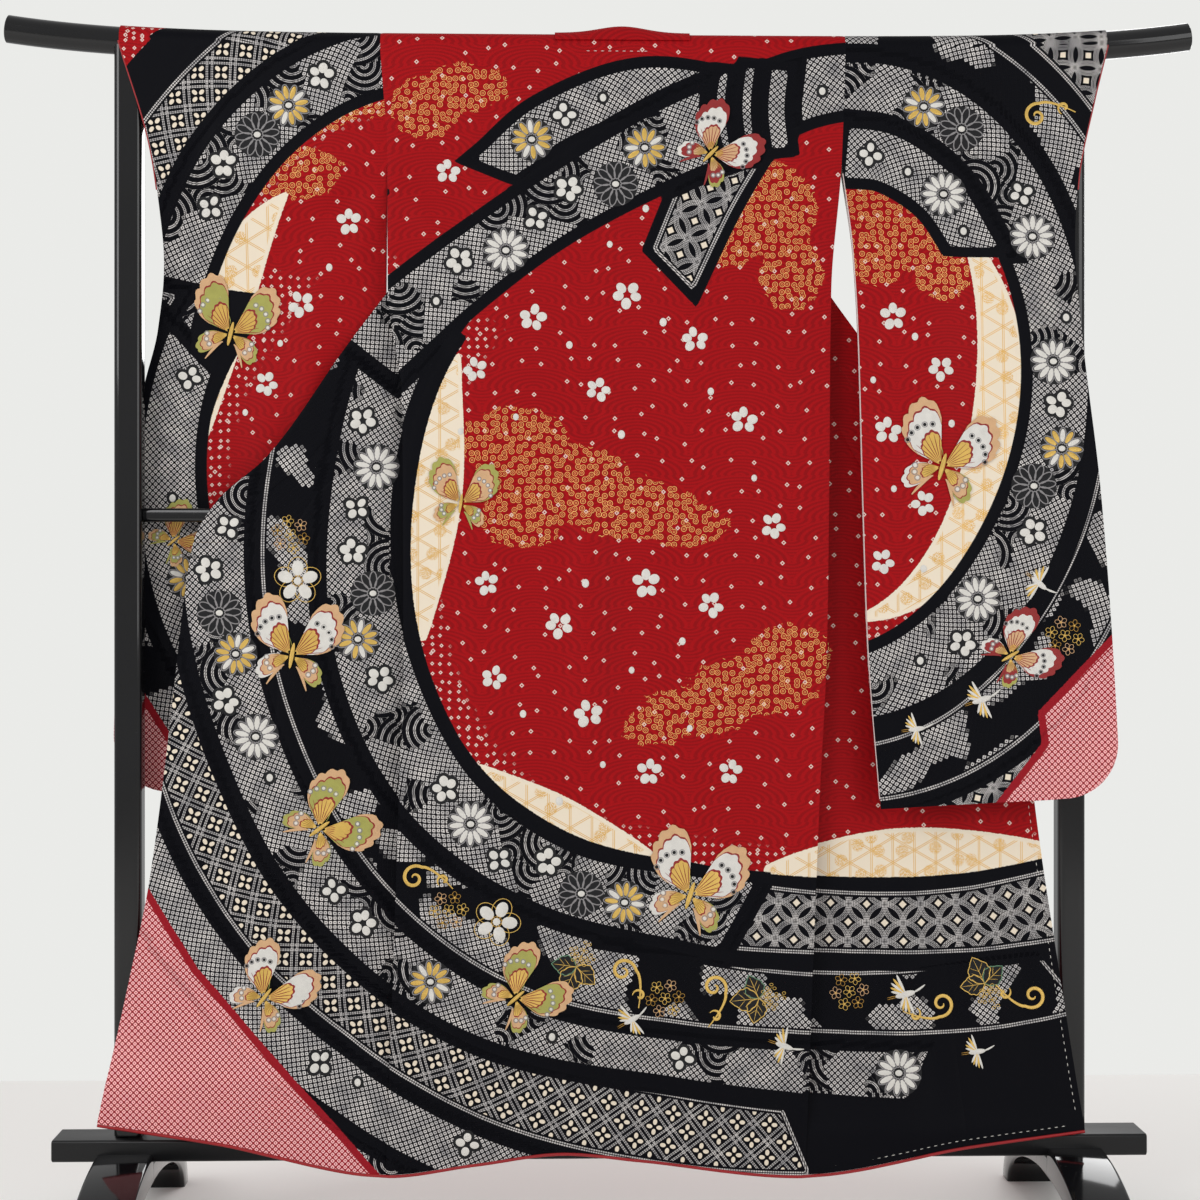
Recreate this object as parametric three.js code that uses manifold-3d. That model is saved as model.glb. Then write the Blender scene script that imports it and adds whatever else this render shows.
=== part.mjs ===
// A furisode kimono hung on its lacquered stand, the back of the garment towards the viewer.
// Millimetres. +Z is up, the viewer stands at -Y, and X runs to the viewer's right.
// The origin is on the floor, in the middle of the stand.

import * as THREE from 'three';
import { mergeVertices } from 'three/addons/utils/BufferGeometryUtils.js';
import Module from 'manifold-3d';

const wasm = await Module();
wasm.setup();

// ---------------------------------------------------------------- driving sizes

const WALL = 2;                          // silk with its lining
const SEAM_GAP = 0.3;                    // between two pieces that are sewn together
const FOLDED_SEAM_GAP = 0.8;             // of the collar's seam, which runs round a fold
const LAYER_STEP = WALL + SEAM_GAP;      // from the middle of one cloth to the next one lying on it
const SEAM_LAP = 12;                     // the front's seam allowance, behind the back's edge

const RAIL = { height: 1646, radius: 19, halfLength: 826, endRise: 24, sides: 16, steps: 28 };
const POST = { offset: 657, width: 38, corner: 8, seat: 8 };
const MIDDLE_RAIL = { height: 995, tall: 19, deep: 16, corner: 5 };
const BEAM = { bottom: 104, tall: 30, deep: 70, halfLength: 758, corner: 4 };
const FOOT = { width: 78, outerReach: 260, outerHeight: 116, innerReach: 222, innerHeight: 74 };

const DRAPE_RADIUS = RAIL.radius + SEAM_GAP + WALL / 2;
const DRAPE_STEPS = 4;                   // facets of cloth over a quarter of the rail
const SLEEVE_SEAM_END = 1485;            // the sleeve is sewn to the body from the shoulder to here
const SIDE_SEAM_TOP = 1307;              // back and front are sewn to each other below this
const GORE_TIP = 1430;
const COLLAR_END = 957;
const HEM_LEVEL = 100;
const HEM_DEPTH = -52;                   // the body leans out from the rail to this depth
const FOLD_RADIUS = { top: 4, middle: 10, hem: 5 };
const FOLD_OPENS = 250;                  // how far below the rail a fold has its middle radius
const FOLD_CLOSES = { from: 500, over: 400 }; // and where it narrows again towards the hem
const HEM_SAMPLE = 400;                  // out from the middle, where a front's height at the hem is read
const NECK = { middle: 28, halfWidth: 75, overlap: 19, hump: 9, humpHalfWidth: 45 };
const SLEEVE_BELLY = { depth: 8, top: 1500, topFade: 300, bottomFade: 150 };
const LEAST_COLUMN = 1.6;                // narrowest column where a fold turns round
const HEM_ROLL = { radius: 2.2, sides: 6, steps: 64, inFromSeam: 6, backSteps: 14 };

// ---------------------------------------------------------------- outlines, a row for each height

const CENTRE_SEAM = [{ z: 1661, x: 28 }, { z: 1150, x: 16 }, { z: 600, x: 8 }, { z: 120, x: -2 }];

const HEM = [
  { x: -692, z: 160.5 }, { x: -522, z: 133 }, { x: -294, z: 89 }, { x: -174, z: 104 }, { x: -54, z: 118 },
  { x: 52, z: 108 }, { x: 272, z: 85 }, { x: 505, z: 122 }, { x: 667, z: 143 },
];

// Flat widths of one front, from its side seam: to the gore's seam, to the collar's seam, to the open edge.
const FRONT_WIDTHS = [
  { z: 1485, panel: 215, gore: 0, whole: 270 },
  { z: 1430, panel: 225, gore: 1.5, whole: 282 },
  { z: 1307, panel: 238, gore: 24, whole: 320 },
  { z: 1077, panel: 240, gore: 62, whole: 364 },
  { z: 957, panel: 240, gore: 72, whole: 374 },
  { z: 100, panel: 235, gore: 90, whole: 401 },
];

const LEFT = {
  name: 'left',
  outward: -1,
  sideSeam: [
    { z: 1640, x: -308 }, { z: 1485, x: -298 }, { z: 1307, x: -297 }, { z: 1152, x: -277 },
    { z: 822, x: -275 }, { z: 601, x: -281 }, { z: 92, x: -298 },
  ],
  openEdge: [
    { z: 1640, x: -47 }, { z: 1485, x: -166 }, { z: 1299, x: -304 }, { z: 1230, x: -356 },
    { z: 1077, x: -465 }, { z: 1015, x: -534 }, { z: 960, x: -566 }, { z: 874, x: -580 },
    { z: 735, x: -595 }, { z: 494, x: -625 }, { z: 350, x: -653 }, { z: 162, x: -692 },
  ],
};

const RIGHT = {
  name: 'right',
  outward: 1,
  sideSeam: [
    { z: 1640, x: 339 }, { z: 1485, x: 333 }, { z: 1307, x: 318 }, { z: 1000, x: 314 },
    { z: 822, x: 311 }, { z: 601, x: 300 }, { z: 92, x: 279 },
  ],
  openEdge: [
    { z: 1640, x: 103 }, { z: 1485, x: 198 }, { z: 1299, x: 322 }, { z: 1230, x: 372 },
    { z: 1077, x: 478 }, { z: 960, x: 560 }, { z: 808, x: 582 }, { z: 591, x: 604 },
    { z: 350, x: 638 }, { z: 145, x: 668 },
  ],
};

// Soft upright folds of the body: where, how wide, how far they stand out, and between which heights.
const BODY_FOLDS = [
  { x: -20, halfWidth: 26, depth: -6, top: 1120, bottom: 620 },
  { x: 34, halfWidth: 22, depth: 4, top: 1080, bottom: 560 },
  { x: 150, halfWidth: 45, depth: -4, top: 900, bottom: 60 },
  { x: -150, halfWidth: 50, depth: -5, top: 760, bottom: 60 },
  { x: -360, halfWidth: 42, depth: 6, top: 700, bottom: 60 },
  { x: -470, halfWidth: 36, depth: -6, top: 640, bottom: 60 },
  { x: 420, halfWidth: 45, depth: -5, top: 560, bottom: 60 },
];

// Sleeves. The near layer is sewn to the back, the far one to the front. y columns are depths.
const LEFT_SLEEVE = {
  side: LEFT,
  bottomRise: 8,
  corner: 80,
  innerEdge: [{ z: 1485, x: -298 }, { z: 1356, x: -301 }, { z: 1000, x: -306 }, { z: 600, x: -310 }],
  outerEdge: [
    { z: 1640, x: -668 }, { z: 1485, x: -623 }, { z: 1432, x: -617 }, { z: 1356, x: -612 },
    { z: 1250, x: -622 }, { z: 1150, x: -645 }, { z: 1000, x: -657 }, { z: 800, x: -680 },
    { z: 600, x: -686 },
  ],
  farInset: [{ z: 1640, inset: 0 }, { z: 600, inset: 0 }],
  innerDepth: [{ z: 1485, moved: 0 }, { z: 1290, moved: 28 }, { z: 1000, moved: 52 }, { z: 600, moved: 61 }],
  outerDepth: [
    { z: 1640, y: -20.3 }, { z: 1512, y: -20.3 }, { z: 1412, y: -1 }, { z: 1290, y: 24 }, { z: 600, y: 26 },
  ],
  innerGap: [{ z: 1485, gap: 25 }, { z: 1200, gap: 18 }, { z: 700, gap: 16 }, { z: 604, gap: 2.3 }],
  outerGap: [{ z: 1640, gap: 40.6 }, { z: 1500, gap: 40.6 }, { z: 1412, gap: 2.3 }, { z: 600, gap: 2.3 }],
};

const RIGHT_SLEEVE = {
  side: RIGHT,
  bottomRise: 14,
  corner: 80,
  innerEdge: [
    { z: 1485, x: 333 }, { z: 1453, x: 337 }, { z: 1356, x: 347 }, { z: 1222, x: 353 },
    { z: 1015, x: 358 }, { z: 822, x: 364 }, { z: 590, x: 381 },
  ],
  outerEdge: [
    { z: 1640, x: 706 }, { z: 1565, x: 687 }, { z: 1453, x: 664 }, { z: 1356, x: 658 },
    { z: 1222, x: 666 }, { z: 1015, x: 686 }, { z: 822, x: 700 }, { z: 590, x: 712 },
  ],
  farInset: [
    { z: 1640, inset: 5 }, { z: 1600, inset: 37 }, { z: 1540, inset: 61 }, { z: 1485, inset: 48 },
    { z: 1432, inset: 40 }, { z: 1400, inset: 0 }, { z: 590, inset: 0 },
  ],
  innerDepth: [
    { z: 1485, moved: 0 }, { z: 1360, moved: -17 }, { z: 1235, moved: -26 }, { z: 590, moved: -26 },
  ],
  outerDepth: [
    { z: 1640, y: -20.3 }, { z: 1432, y: -26 }, { z: 1000, y: -62 }, { z: 590, y: -70 },
  ],
  innerGap: [{ z: 1485, gap: 25 }, { z: 1330, gap: 14 }, { z: 700, gap: 14 }, { z: 590, gap: 2.3 }],
  outerGap: [{ z: 1640, gap: 41 }, { z: 1540, gap: 43 }, { z: 1432, gap: 2.3 }, { z: 590, gap: 2.3 }],
};

const SLEEVE_FOLDS = [
  { across: 0.3, halfWidth: 0.1, depth: -5, top: 1420, bottom: 560 },
  { across: 0.62, halfWidth: 0.12, depth: 5, top: 1340, bottom: 700 },
];

const COLOUR = { black: 0x14141a, red: 0xa81420, grey: 0x6d6f76, lacquer: 0x08080a };
const GLOSS = 0.15;                      // roughness of the lacquer
const SATIN = 0.6;

// ---------------------------------------------------------------- small helpers

const { lerp, clamp } = THREE.MathUtils;

function smooth(value) {
  const t = clamp(value, 0, 1);
  return t * t * (3 - 2 * t);
}

// Reads a column of a table at a height (or at an x), along a smooth line that never overshoots its rows.
function read(table, column, at, key = 'z') {
  const rising = table[0][key] < table[table.length - 1][key];
  const rows = rising ? table : [...table].reverse();
  const position = clamp(at, rows[0][key], rows[rows.length - 1][key]);
  let next = 1;
  while (next < rows.length - 1 && rows[next][key] < position) next++;
  const rise = (name, index) => rows[index + 1][name] - rows[index][name];
  const slope = (index) => rise(column, index) / rise(key, index);
  const tangent = (index) => {
    if (index === 0) return slope(0);
    if (index === rows.length - 1) return slope(index - 1);
    const before = slope(index - 1);
    const after = slope(index);
    return before * after > 0 ? (2 * before * after) / (before + after) : 0;
  };
  const low = rows[next - 1];
  const high = rows[next];
  const span = high[key] - low[key];
  const t = (position - low[key]) / span;
  const startWeight = 1 + t * t * (2 * t - 3);
  return (
    startWeight * low[column] + (1 - startWeight) * high[column] +
    span * t * (1 - t) * ((1 - t) * tangent(next - 1) - t * tangent(next))
  );
}

function railHeight(x) {
  return RAIL.height + RAIL.endRise * (Math.abs(x) / RAIL.halfLength) ** 5;
}

function mesh(name, geometry, colour, roughness = 0.8, metalness = 0) {
  const material = new THREE.MeshStandardMaterial({ color: colour, roughness, metalness });
  const result = new THREE.Mesh(geometry, material);
  result.name = name;
  return result;
}

function signedVolume(positions, triangles) {
  const corner = (index) => new THREE.Vector3().fromArray(positions, 3 * index);
  let sum = 0;
  for (let i = 0; i < triangles.length; i += 3) {
    sum += corner(triangles[i]).dot(corner(triangles[i + 1]).cross(corner(triangles[i + 2])));
  }
  return sum / 6;
}

// ---------------------------------------------------------------- cloth walls

// The direction of a line of points at one of them, from a parabola through it and the two next to it.
function tangentOf(points, index) {
  const first = clamp(index - 1, 0, points.length - 3);
  const [a, b, c] = [0, 1, 2].map((offset) => points[first + offset]);
  const ab = a.distanceTo(b);
  const bc = b.distanceTo(c);
  const at = [0, ab, ab + bc][index - first];
  const weights = [(2 * at - ab - ab - bc) / (ab * (ab + bc)), (ab + bc - 2 * at) / (ab * bc)];
  const lastWeight = (2 * at - ab) / ((ab + bc) * bc);
  return a.clone().multiplyScalar(weights[0]).addScaledVector(b, weights[1]).addScaledVector(c, lastWeight);
}

// A closed wall of even thickness about the surface pointAt(column, row); isCut leaves cells out.
function clothWall({ name, colour, columns, rows, pointAt, isCut = () => false, thickness = WALL }) {
  const middle = [];
  for (let row = 0; row <= rows; row++) {
    middle.push([]);
    for (let column = 0; column <= columns; column++) middle[row].push(pointAt(column, row));
  }
  const vertices = [];
  for (const side of [0.5, -0.5]) {
    for (let row = 0; row <= rows; row++) {
      for (let column = 0; column <= columns; column++) {
        const across = tangentOf(middle[row], column);
        const along = tangentOf(middle.map((line) => line[column]), row);
        const normal = across.cross(along).normalize();
        vertices.push(...middle[row][column].clone().addScaledVector(normal, side * thickness).toArray());
      }
    }
  }
  const layer = (rows + 1) * (columns + 1);
  const vertex = (row, column, side) => side * layer + row * (columns + 1) + column;
  const isThere = (row, column) =>
    row >= 0 && row < rows && column >= 0 && column < columns && !isCut(column, row);
  const triangles = [];
  const quad = (a, b, c, d) => triangles.push(a, b, c, a, c, d);
  for (let row = 0; row < rows; row++) {
    for (let column = 0; column < columns; column++) {
      if (!isThere(row, column)) continue;
      const ring = [[row, column], [row, column + 1], [row + 1, column + 1], [row + 1, column]];
      quad(...ring.map(([r, c]) => vertex(r, c, 0)));
      quad(...ring.map(([r, c]) => vertex(r, c, 1)).reverse());
      const neighbours = [[row - 1, column], [row, column + 1], [row + 1, column], [row, column - 1]];
      neighbours.forEach(([r, c], edge) => {
        if (isThere(r, c)) return;
        const from = ring[edge];
        const to = ring[(edge + 1) % 4];
        const rim = [vertex(...to, 0), vertex(...from, 0), vertex(...from, 1), vertex(...to, 1)];
        // Rims that face each other across a seam are split along the same diagonal.
        quad(...(edge < 2 ? rim : [...rim.slice(1), rim[0]]));
      });
    }
  }
  if (signedVolume(vertices, triangles) < 0) triangles.reverse();
  const geometry = new THREE.BufferGeometry();
  geometry.setAttribute('position', new THREE.Float32BufferAttribute(vertices, 3));
  geometry.setIndex(triangles);
  geometry.computeVertexNormals();
  return mesh(name, geometry, colour);
}

// The rows of a cloth that hangs over the rail: turned over it by an angle, then down to each level.
function hangingRows(levels) {
  const rows = [];
  const crest = SEAM_GAP / 2 / DRAPE_RADIUS;
  for (let step = 0; step < DRAPE_STEPS; step++) {
    rows.push({ angle: Math.max(crest, (step * Math.PI) / 2 / DRAPE_STEPS), level: RAIL.height });
  }
  return rows.concat(levels.map((level) => ({ level })));
}

// Levels from a start down through stretches that each have an end and a number of steps.
function levelsFrom(start, ...stretches) {
  const levels = [start];
  for (const { to, steps } of stretches) {
    const from = levels[levels.length - 1];
    for (let step = 1; step <= steps; step++) levels.push(lerp(from, to, step / steps));
  }
  return levels;
}

// A point on the rail's round, lifted off the middle of the cloth that lies on it.
const NEAR = -1;
const FAR = 1;
function onRail(x, angle, side, lift = 0) {
  const radius = DRAPE_RADIUS + lift;
  return new THREE.Vector3(x, side * radius * Math.sin(angle), railHeight(x) + radius * Math.cos(angle));
}

function foldDepth(folds, key, at, z) {
  let depth = 0;
  for (const fold of folds) {
    const reach = (fold.top - fold.bottom) / 4;
    const strength = smooth((fold.top - z) / reach) * smooth((z - fold.bottom) / reach);
    depth += fold.depth * strength * Math.exp(-(((at - fold[key]) / fold.halfWidth) ** 2));
  }
  return depth;
}

// ---------------------------------------------------------------- back

// Depth of a cloth that leans out from the rail's near side towards the hem.
function leanDepth(z) {
  return lerp(-DRAPE_RADIUS, HEM_DEPTH, clamp((RAIL.height - z) / (RAIL.height - HEM_LEVEL), 0, 1.1));
}

function backDepth(x, z) {
  return leanDepth(z) + foldDepth(BODY_FOLDS, 'x', x, z);
}

function hemHeight(x) {
  return read(HEM, 'z', x, 'x');
}

// Rows are level down to the collar's end, and below it they spread to the curve of the hem.
function bodyHeight(level, hemX) {
  if (level >= COLLAR_END) return level;
  return lerp(COLLAR_END, hemHeight(hemX), (COLLAR_END - level) / (COLLAR_END - HEM_LEVEL));
}

// Pieces that are sewn to each other have their rows at the same levels.
const SHOULDER = [
  { to: SLEEVE_SEAM_END, steps: 5 }, { to: GORE_TIP, steps: 1 }, { to: SIDE_SEAM_TOP, steps: 3 },
];
const BODY_ROWS = hangingRows(levelsFrom(
  RAIL.height, ...SHOULDER, { to: COLLAR_END, steps: 7 }, { to: HEM_LEVEL, steps: 11 },
));

function backPanel(side) {
  const columns = 9;
  const seamX = (z) => read(side.sideSeam, 'x', z) - (side.outward * SEAM_GAP) / 2;
  const centreX = (z) => read(CENTRE_SEAM, 'x', z) + (side.outward * SEAM_GAP) / 2;
  return clothWall({
    name: `back_${side.name}`,
    colour: COLOUR.red,
    columns,
    rows: BODY_ROWS.length - 1,
    pointAt(column, row) {
      const share = column / columns;
      const { angle, level } = BODY_ROWS[row];
      const z = bodyHeight(level, lerp(seamX(HEM_LEVEL), centreX(HEM_LEVEL), share));
      const x = lerp(seamX(z), centreX(z), share);
      return angle === undefined ? new THREE.Vector3(x, backDepth(x, z), z) : onRail(x, angle, NEAR);
    },
  });
}

// ---------------------------------------------------------------- fronts, gores and collar

// Depth of a front where it lies behind the back: it comes down from the far side of the rail.
function frontBase(x, z) {
  const drawnIn = smooth((RAIL.height - z) / (RAIL.height - SIDE_SEAM_TOP));
  return lerp(DRAPE_RADIUS, backDepth(x, z) + LAYER_STEP, drawnIn);
}

// Flat widths of a front at a level. At the shoulder they fit between the side seam and the neck.
function frontWidths(side, level) {
  const widths = {};
  for (const column of ['panel', 'gore', 'whole']) widths[column] = read(FRONT_WIDTHS, column, level);
  const collar = widths.whole - widths.panel - widths.gore;
  const shoulder = Math.abs(read(side.sideSeam, 'x', RAIL.height) - read(side.openEdge, 'x', RAIL.height));
  const down = smooth((RAIL.height - level) / (RAIL.height - SLEEVE_SEAM_END));
  widths.panel = lerp(shoulder - collar, widths.panel, down);
  widths.whole = lerp(shoulder, widths.whole, down);
  return widths;
}

// The turn to leave out of a half circle so that it takes up only this slack, in its radii.
function turnLeftOut(slack) {
  let low = 0;
  let high = Math.PI;
  for (let step = 0; step < 30; step++) {
    const middle = (low + high) / 2;
    if (Math.PI - middle - Math.sin(middle) > slack) low = middle;
    else high = middle;
  }
  return low;
}

// How a front lies at a height: inward behind the back, round a half circle, and out to its open edge.
function frontFold(side, z, whole, angle) {
  const lap = SEAM_LAP * smooth((SLEEVE_SEAM_END - z) / (SLEEVE_SEAM_END - SIDE_SEAM_TOP));
  const start = read(side.sideSeam, 'x', z) - side.outward * (lap + SEAM_GAP / 2);
  const reach = side.outward * (read(side.openEdge, 'x', z) - start);
  const upper = lerp(FOLD_RADIUS.top, FOLD_RADIUS.middle, smooth((RAIL.height - z) / FOLD_OPENS));
  const radius = lerp(upper, FOLD_RADIUS.hem, smooth((FOLD_CLOSES.from - z) / FOLD_CLOSES.over));
  const slack = Math.max(0, whole - reach);
  const turnStart = turnLeftOut(slack / radius);
  let inward = Math.max(0, (slack - Math.PI * radius) / 2);
  if (angle !== undefined) inward = lerp(whole, inward, smooth((angle - Math.PI / 4) / (Math.PI / 4)));
  const turned = inward + radius * (Math.PI - turnStart);
  return { start, radius, inward, turnStart, turned, stretch: Math.max(1, reach / whole) };
}

// The point of a front at a flat distance from its side seam. Level and distance are those of the cloth.
function frontPoint(side, distance, { angle, level }) {
  const { whole } = frontWidths(side, level);
  const atHem = frontFold(side, hemHeight(side.outward * HEM_SAMPLE), whole);
  const hemReach = side.outward * (read(side.openEdge, 'x', HEM_LEVEL) - atHem.start);
  const z = bodyHeight(level, atHem.start + (side.outward * hemReach * distance) / whole);
  const { start, radius, inward, turnStart, turned, stretch } = frontFold(side, z, whole, angle);
  let outward = -distance;
  let behind = 0;
  if (distance > turned) {
    outward = (distance - turned) * stretch - inward + radius * Math.sin(turnStart);
    behind = radius * (1 + Math.cos(turnStart));
  } else if (distance > inward) {
    const turn = turnStart + (distance - inward) / radius;
    outward = -inward - radius * (Math.sin(turn) - Math.sin(turnStart));
    behind = radius * (Math.cos(turnStart) - Math.cos(turn));
  }
  const x = start + side.outward * outward;
  if (angle !== undefined) return onRail(x, angle, FAR, behind);
  return new THREE.Vector3(x, frontBase(x, z) + behind, z);
}

// Flat distances of a row's columns between two seams, closer together where the front turns round.
function foldedDistances(side, { angle, level }, from, to, columns) {
  const fold = frontFold(side, level, frontWidths(side, level).whole, angle);
  const least = Math.min((to - from) / 30, LEAST_COLUMN);
  const { before, turning, after } = columns;
  const turnFrom = clamp(fold.inward, from + least * before, to - least * (turning + after));
  const turnTo = clamp(fold.turned, turnFrom + least * turning, to - least * after);
  const distances = [from];
  for (const [end, steps] of [[turnFrom, before], [turnTo, turning], [to, after]]) {
    const start = distances[distances.length - 1];
    for (let step = 1; step <= steps; step++) distances.push(lerp(start, end, step / steps));
  }
  return distances;
}

// A strip of a front between two of its seams, with columns that follow its fold.
function frontStrip(side, name, colour, rows, columns, seamsAt) {
  const distances = rows.map((row) => {
    const { from, to } = seamsAt(frontWidths(side, row.level));
    return foldedDistances(side, row, from + SEAM_GAP / 2, to - SEAM_GAP / 2, columns);
  });
  return clothWall({
    name: `${name}_${side.name}`,
    colour,
    columns: columns.before + columns.turning + columns.after,
    rows: rows.length - 1,
    pointAt: (column, row) => frontPoint(side, distances[row][column], rows[row]),
  });
}

const COLLAR_ROWS = hangingRows(levelsFrom(
  RAIL.height, ...SHOULDER, { to: COLLAR_END + SEAM_GAP / 2, steps: 7 },
));
const GORE_ROWS = levelsFrom(
  GORE_TIP - SEAM_GAP, { to: SIDE_SEAM_TOP, steps: 3 }, { to: COLLAR_END - SEAM_GAP / 2, steps: 7 },
  { to: HEM_LEVEL, steps: 11 },
).map((level) => ({ level }));

function frontPanel(side) {
  const columns = { before: 4, turning: 6, after: 6 };
  return frontStrip(side, 'front', COLOUR.grey, BODY_ROWS, columns, ({ panel }) => ({ from: 0, to: panel }));
}

function collarStrip(side) {
  const columns = { before: 2, turning: 6, after: 3 };
  const extraGap = FOLDED_SEAM_GAP - SEAM_GAP;
  const seamsAt = ({ panel, gore, whole }) => ({ from: panel + gore + extraGap, to: whole });
  return frontStrip(side, 'collar', COLOUR.black, COLLAR_ROWS, columns, seamsAt);
}

// The gore runs from its tip to the hem. Below the collar's end it takes in the collar's width too.
function goreStrip(side) {
  const besidePanel = 3;
  const underCollar = 4;
  return clothWall({
    name: `gore_${side.name}`,
    colour: COLOUR.black,
    columns: besidePanel + underCollar,
    rows: GORE_ROWS.length - 1,
    isCut: (column, row) => column >= besidePanel && GORE_ROWS[row].level > COLLAR_END,
    pointAt(column, row) {
      const widths = frontWidths(side, GORE_ROWS[row].level);
      const from = widths.panel + SEAM_GAP / 2;
      const step = widths.panel + widths.gore - SEAM_GAP / 2;
      const distance = column <= besidePanel
        ? lerp(from, step, column / besidePanel)
        : lerp(step, widths.whole, (column - besidePanel) / underCollar);
      return frontPoint(side, distance, GORE_ROWS[row]);
    },
  });
}

// The collar's stretch round the back of the neck, over the top of the rail.
function neckCollar() {
  const columns = 10;
  const angles = [-66, -48, -30, -12, 6, 24]; // from the near side over the crest to the far side
  const halfWidth = NECK.halfWidth + NECK.overlap;
  return clothWall({
    name: 'collar_neck',
    colour: COLOUR.red,
    columns,
    rows: angles.length - 1,
    pointAt(column, row) {
      const x = NECK.middle + lerp(-halfWidth, halfWidth, column / columns);
      const hump = NECK.hump * Math.exp(-(((x - NECK.middle) / NECK.humpHalfWidth) ** 2));
      const lift = LAYER_STEP + hump * smooth(1.15 - Math.abs(angles[row]) / 60);
      return onRail(x, THREE.MathUtils.degToRad(angles[row]), FAR, lift);
    },
  });
}

// The lining's padded edge, rolled along the whole hem from one open edge to the other.
function hemRoll() {
  const points = [];
  const bottomRow = { level: HEM_LEVEL };
  const drop = new THREE.Vector3(0, 0, -HEM_ROLL.radius - SEAM_GAP);
  const outsideSeam = [1, 0.8, 0.6, 0.4, 0.2, 0.1];
  const frontPoints = (side) => outsideSeam.map((share) => {
    const { whole } = frontWidths(side, HEM_LEVEL);
    return frontPoint(side, lerp(SEAM_LAP + HEM_ROLL.inFromSeam, whole, share), bottomRow).add(drop);
  });
  points.push(...frontPoints(LEFT));
  const from = read(LEFT.sideSeam, 'x', HEM_LEVEL) + HEM_ROLL.inFromSeam;
  const to = read(RIGHT.sideSeam, 'x', HEM_LEVEL) - HEM_ROLL.inFromSeam;
  for (let step = 0; step <= HEM_ROLL.backSteps; step++) {
    const x = lerp(from, to, step / HEM_ROLL.backSteps);
    points.push(new THREE.Vector3(x, backDepth(x, hemHeight(x)), hemHeight(x)).add(drop));
  }
  points.push(...frontPoints(RIGHT).reverse());
  const section = new THREE.Shape(circlePoints(HEM_ROLL.radius, HEM_ROLL.sides));
  const extrudePath = new THREE.CatmullRomCurve3(points);
  const geometry = new THREE.ExtrudeGeometry(section, { steps: HEM_ROLL.steps, extrudePath });
  return mesh('hem_roll', geometry, COLOUR.red);
}

// ---------------------------------------------------------------- sleeves

const SLEEVE_CORNER_STEPS = 5;

// Rows of a sleeve, closer together round its lower corner.
function sleeveRows(sleeve) {
  const bottom = sleeve.innerEdge[sleeve.innerEdge.length - 1].z;
  const levels = levelsFrom(RAIL.height, ...SHOULDER, { to: bottom + sleeve.corner, steps: 7 });
  for (let step = 1; step <= SLEEVE_CORNER_STEPS; step++) {
    levels.push(bottom + sleeve.corner * (1 - Math.sin((step * Math.PI) / 2 / SLEEVE_CORNER_STEPS)));
  }
  return hangingRows(levels);
}

function sleeveLayer(sleeve, layer) {
  const columns = 8;
  const rows = sleeveRows(sleeve);
  const { side, corner, bottomRise } = sleeve;
  const bottom = rows[rows.length - 1].level;
  return clothWall({
    name: `sleeve_${side.name}_${layer === NEAR ? 'back' : 'front'}`,
    colour: layer === NEAR ? COLOUR.black : COLOUR.red,
    columns,
    rows: rows.length - 1,
    pointAt(column, row) {
      const share = column / columns;
      const { angle, level } = rows[row];
      const belowCorner = Math.max(0, bottom + corner - level);
      const rounding = corner - Math.sqrt(corner ** 2 - Math.min(corner, belowCorner) ** 2);
      const farInset = layer === FAR ? read(sleeve.farInset, 'inset', level) : 0;
      const sewnOn = level >= SLEEVE_SEAM_END;
      const innerLine = sewnOn ? side.sideSeam : sleeve.innerEdge;
      const inner = read(innerLine, 'x', level) + (side.outward * SEAM_GAP) / 2;
      const outer = read(sleeve.outerEdge, 'x', level) - side.outward * (rounding + farInset);
      const x = lerp(inner, outer, share);
      if (angle !== undefined) return onRail(x, angle, layer);
      const fallen = (RAIL.height - level) / (RAIL.height - bottom);
      const z = level + (railHeight(x) - RAIL.height) * (1 - fallen) + bottomRise * share * fallen;
      const innerDepth = leanDepth(level) + read(sleeve.innerDepth, 'moved', level);
      const outerDepth = read(sleeve.outerDepth, 'y', level);
      const flatDepth = lerp(innerDepth, outerDepth, smooth(share));
      const nearDepth = flatDepth + foldDepth(SLEEVE_FOLDS, 'across', share, level);
      if (layer === NEAR) return new THREE.Vector3(x, nearDepth, z);
      const innerGap = sewnOn ? frontBase(x, level) - leanDepth(level) : read(sleeve.innerGap, 'gap', level);
      const outerGap = read(sleeve.outerGap, 'gap', level);
      const bellyTop = smooth((SLEEVE_BELLY.top - level) / SLEEVE_BELLY.topFade);
      const bellyBottom = smooth((level - bottom) / SLEEVE_BELLY.bottomFade);
      const belly = SLEEVE_BELLY.depth * Math.sin(Math.PI * share) * bellyTop * bellyBottom;
      return new THREE.Vector3(x, nearDepth + lerp(innerGap, outerGap, smooth(share)) + belly, z);
    },
  });
}

// ---------------------------------------------------------------- stand

function circlePoints(radius, sides) {
  return Array.from({ length: sides }, (_, index) => {
    const angle = (2 * Math.PI * index) / sides;
    return new THREE.Vector2(radius * Math.cos(angle), radius * Math.sin(angle));
  });
}

function roundedRectangle(width, height, corner) {
  const shape = new THREE.Shape();
  const x = width / 2 - corner;
  const y = height / 2 - corner;
  shape.absarc(x, y, corner, 0, Math.PI / 2);
  shape.absarc(-x, y, corner, Math.PI / 2, Math.PI);
  shape.absarc(-x, -y, corner, Math.PI, (3 * Math.PI) / 2);
  shape.absarc(x, -y, corner, (3 * Math.PI) / 2, 2 * Math.PI);
  shape.closePath();
  return shape;
}

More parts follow.
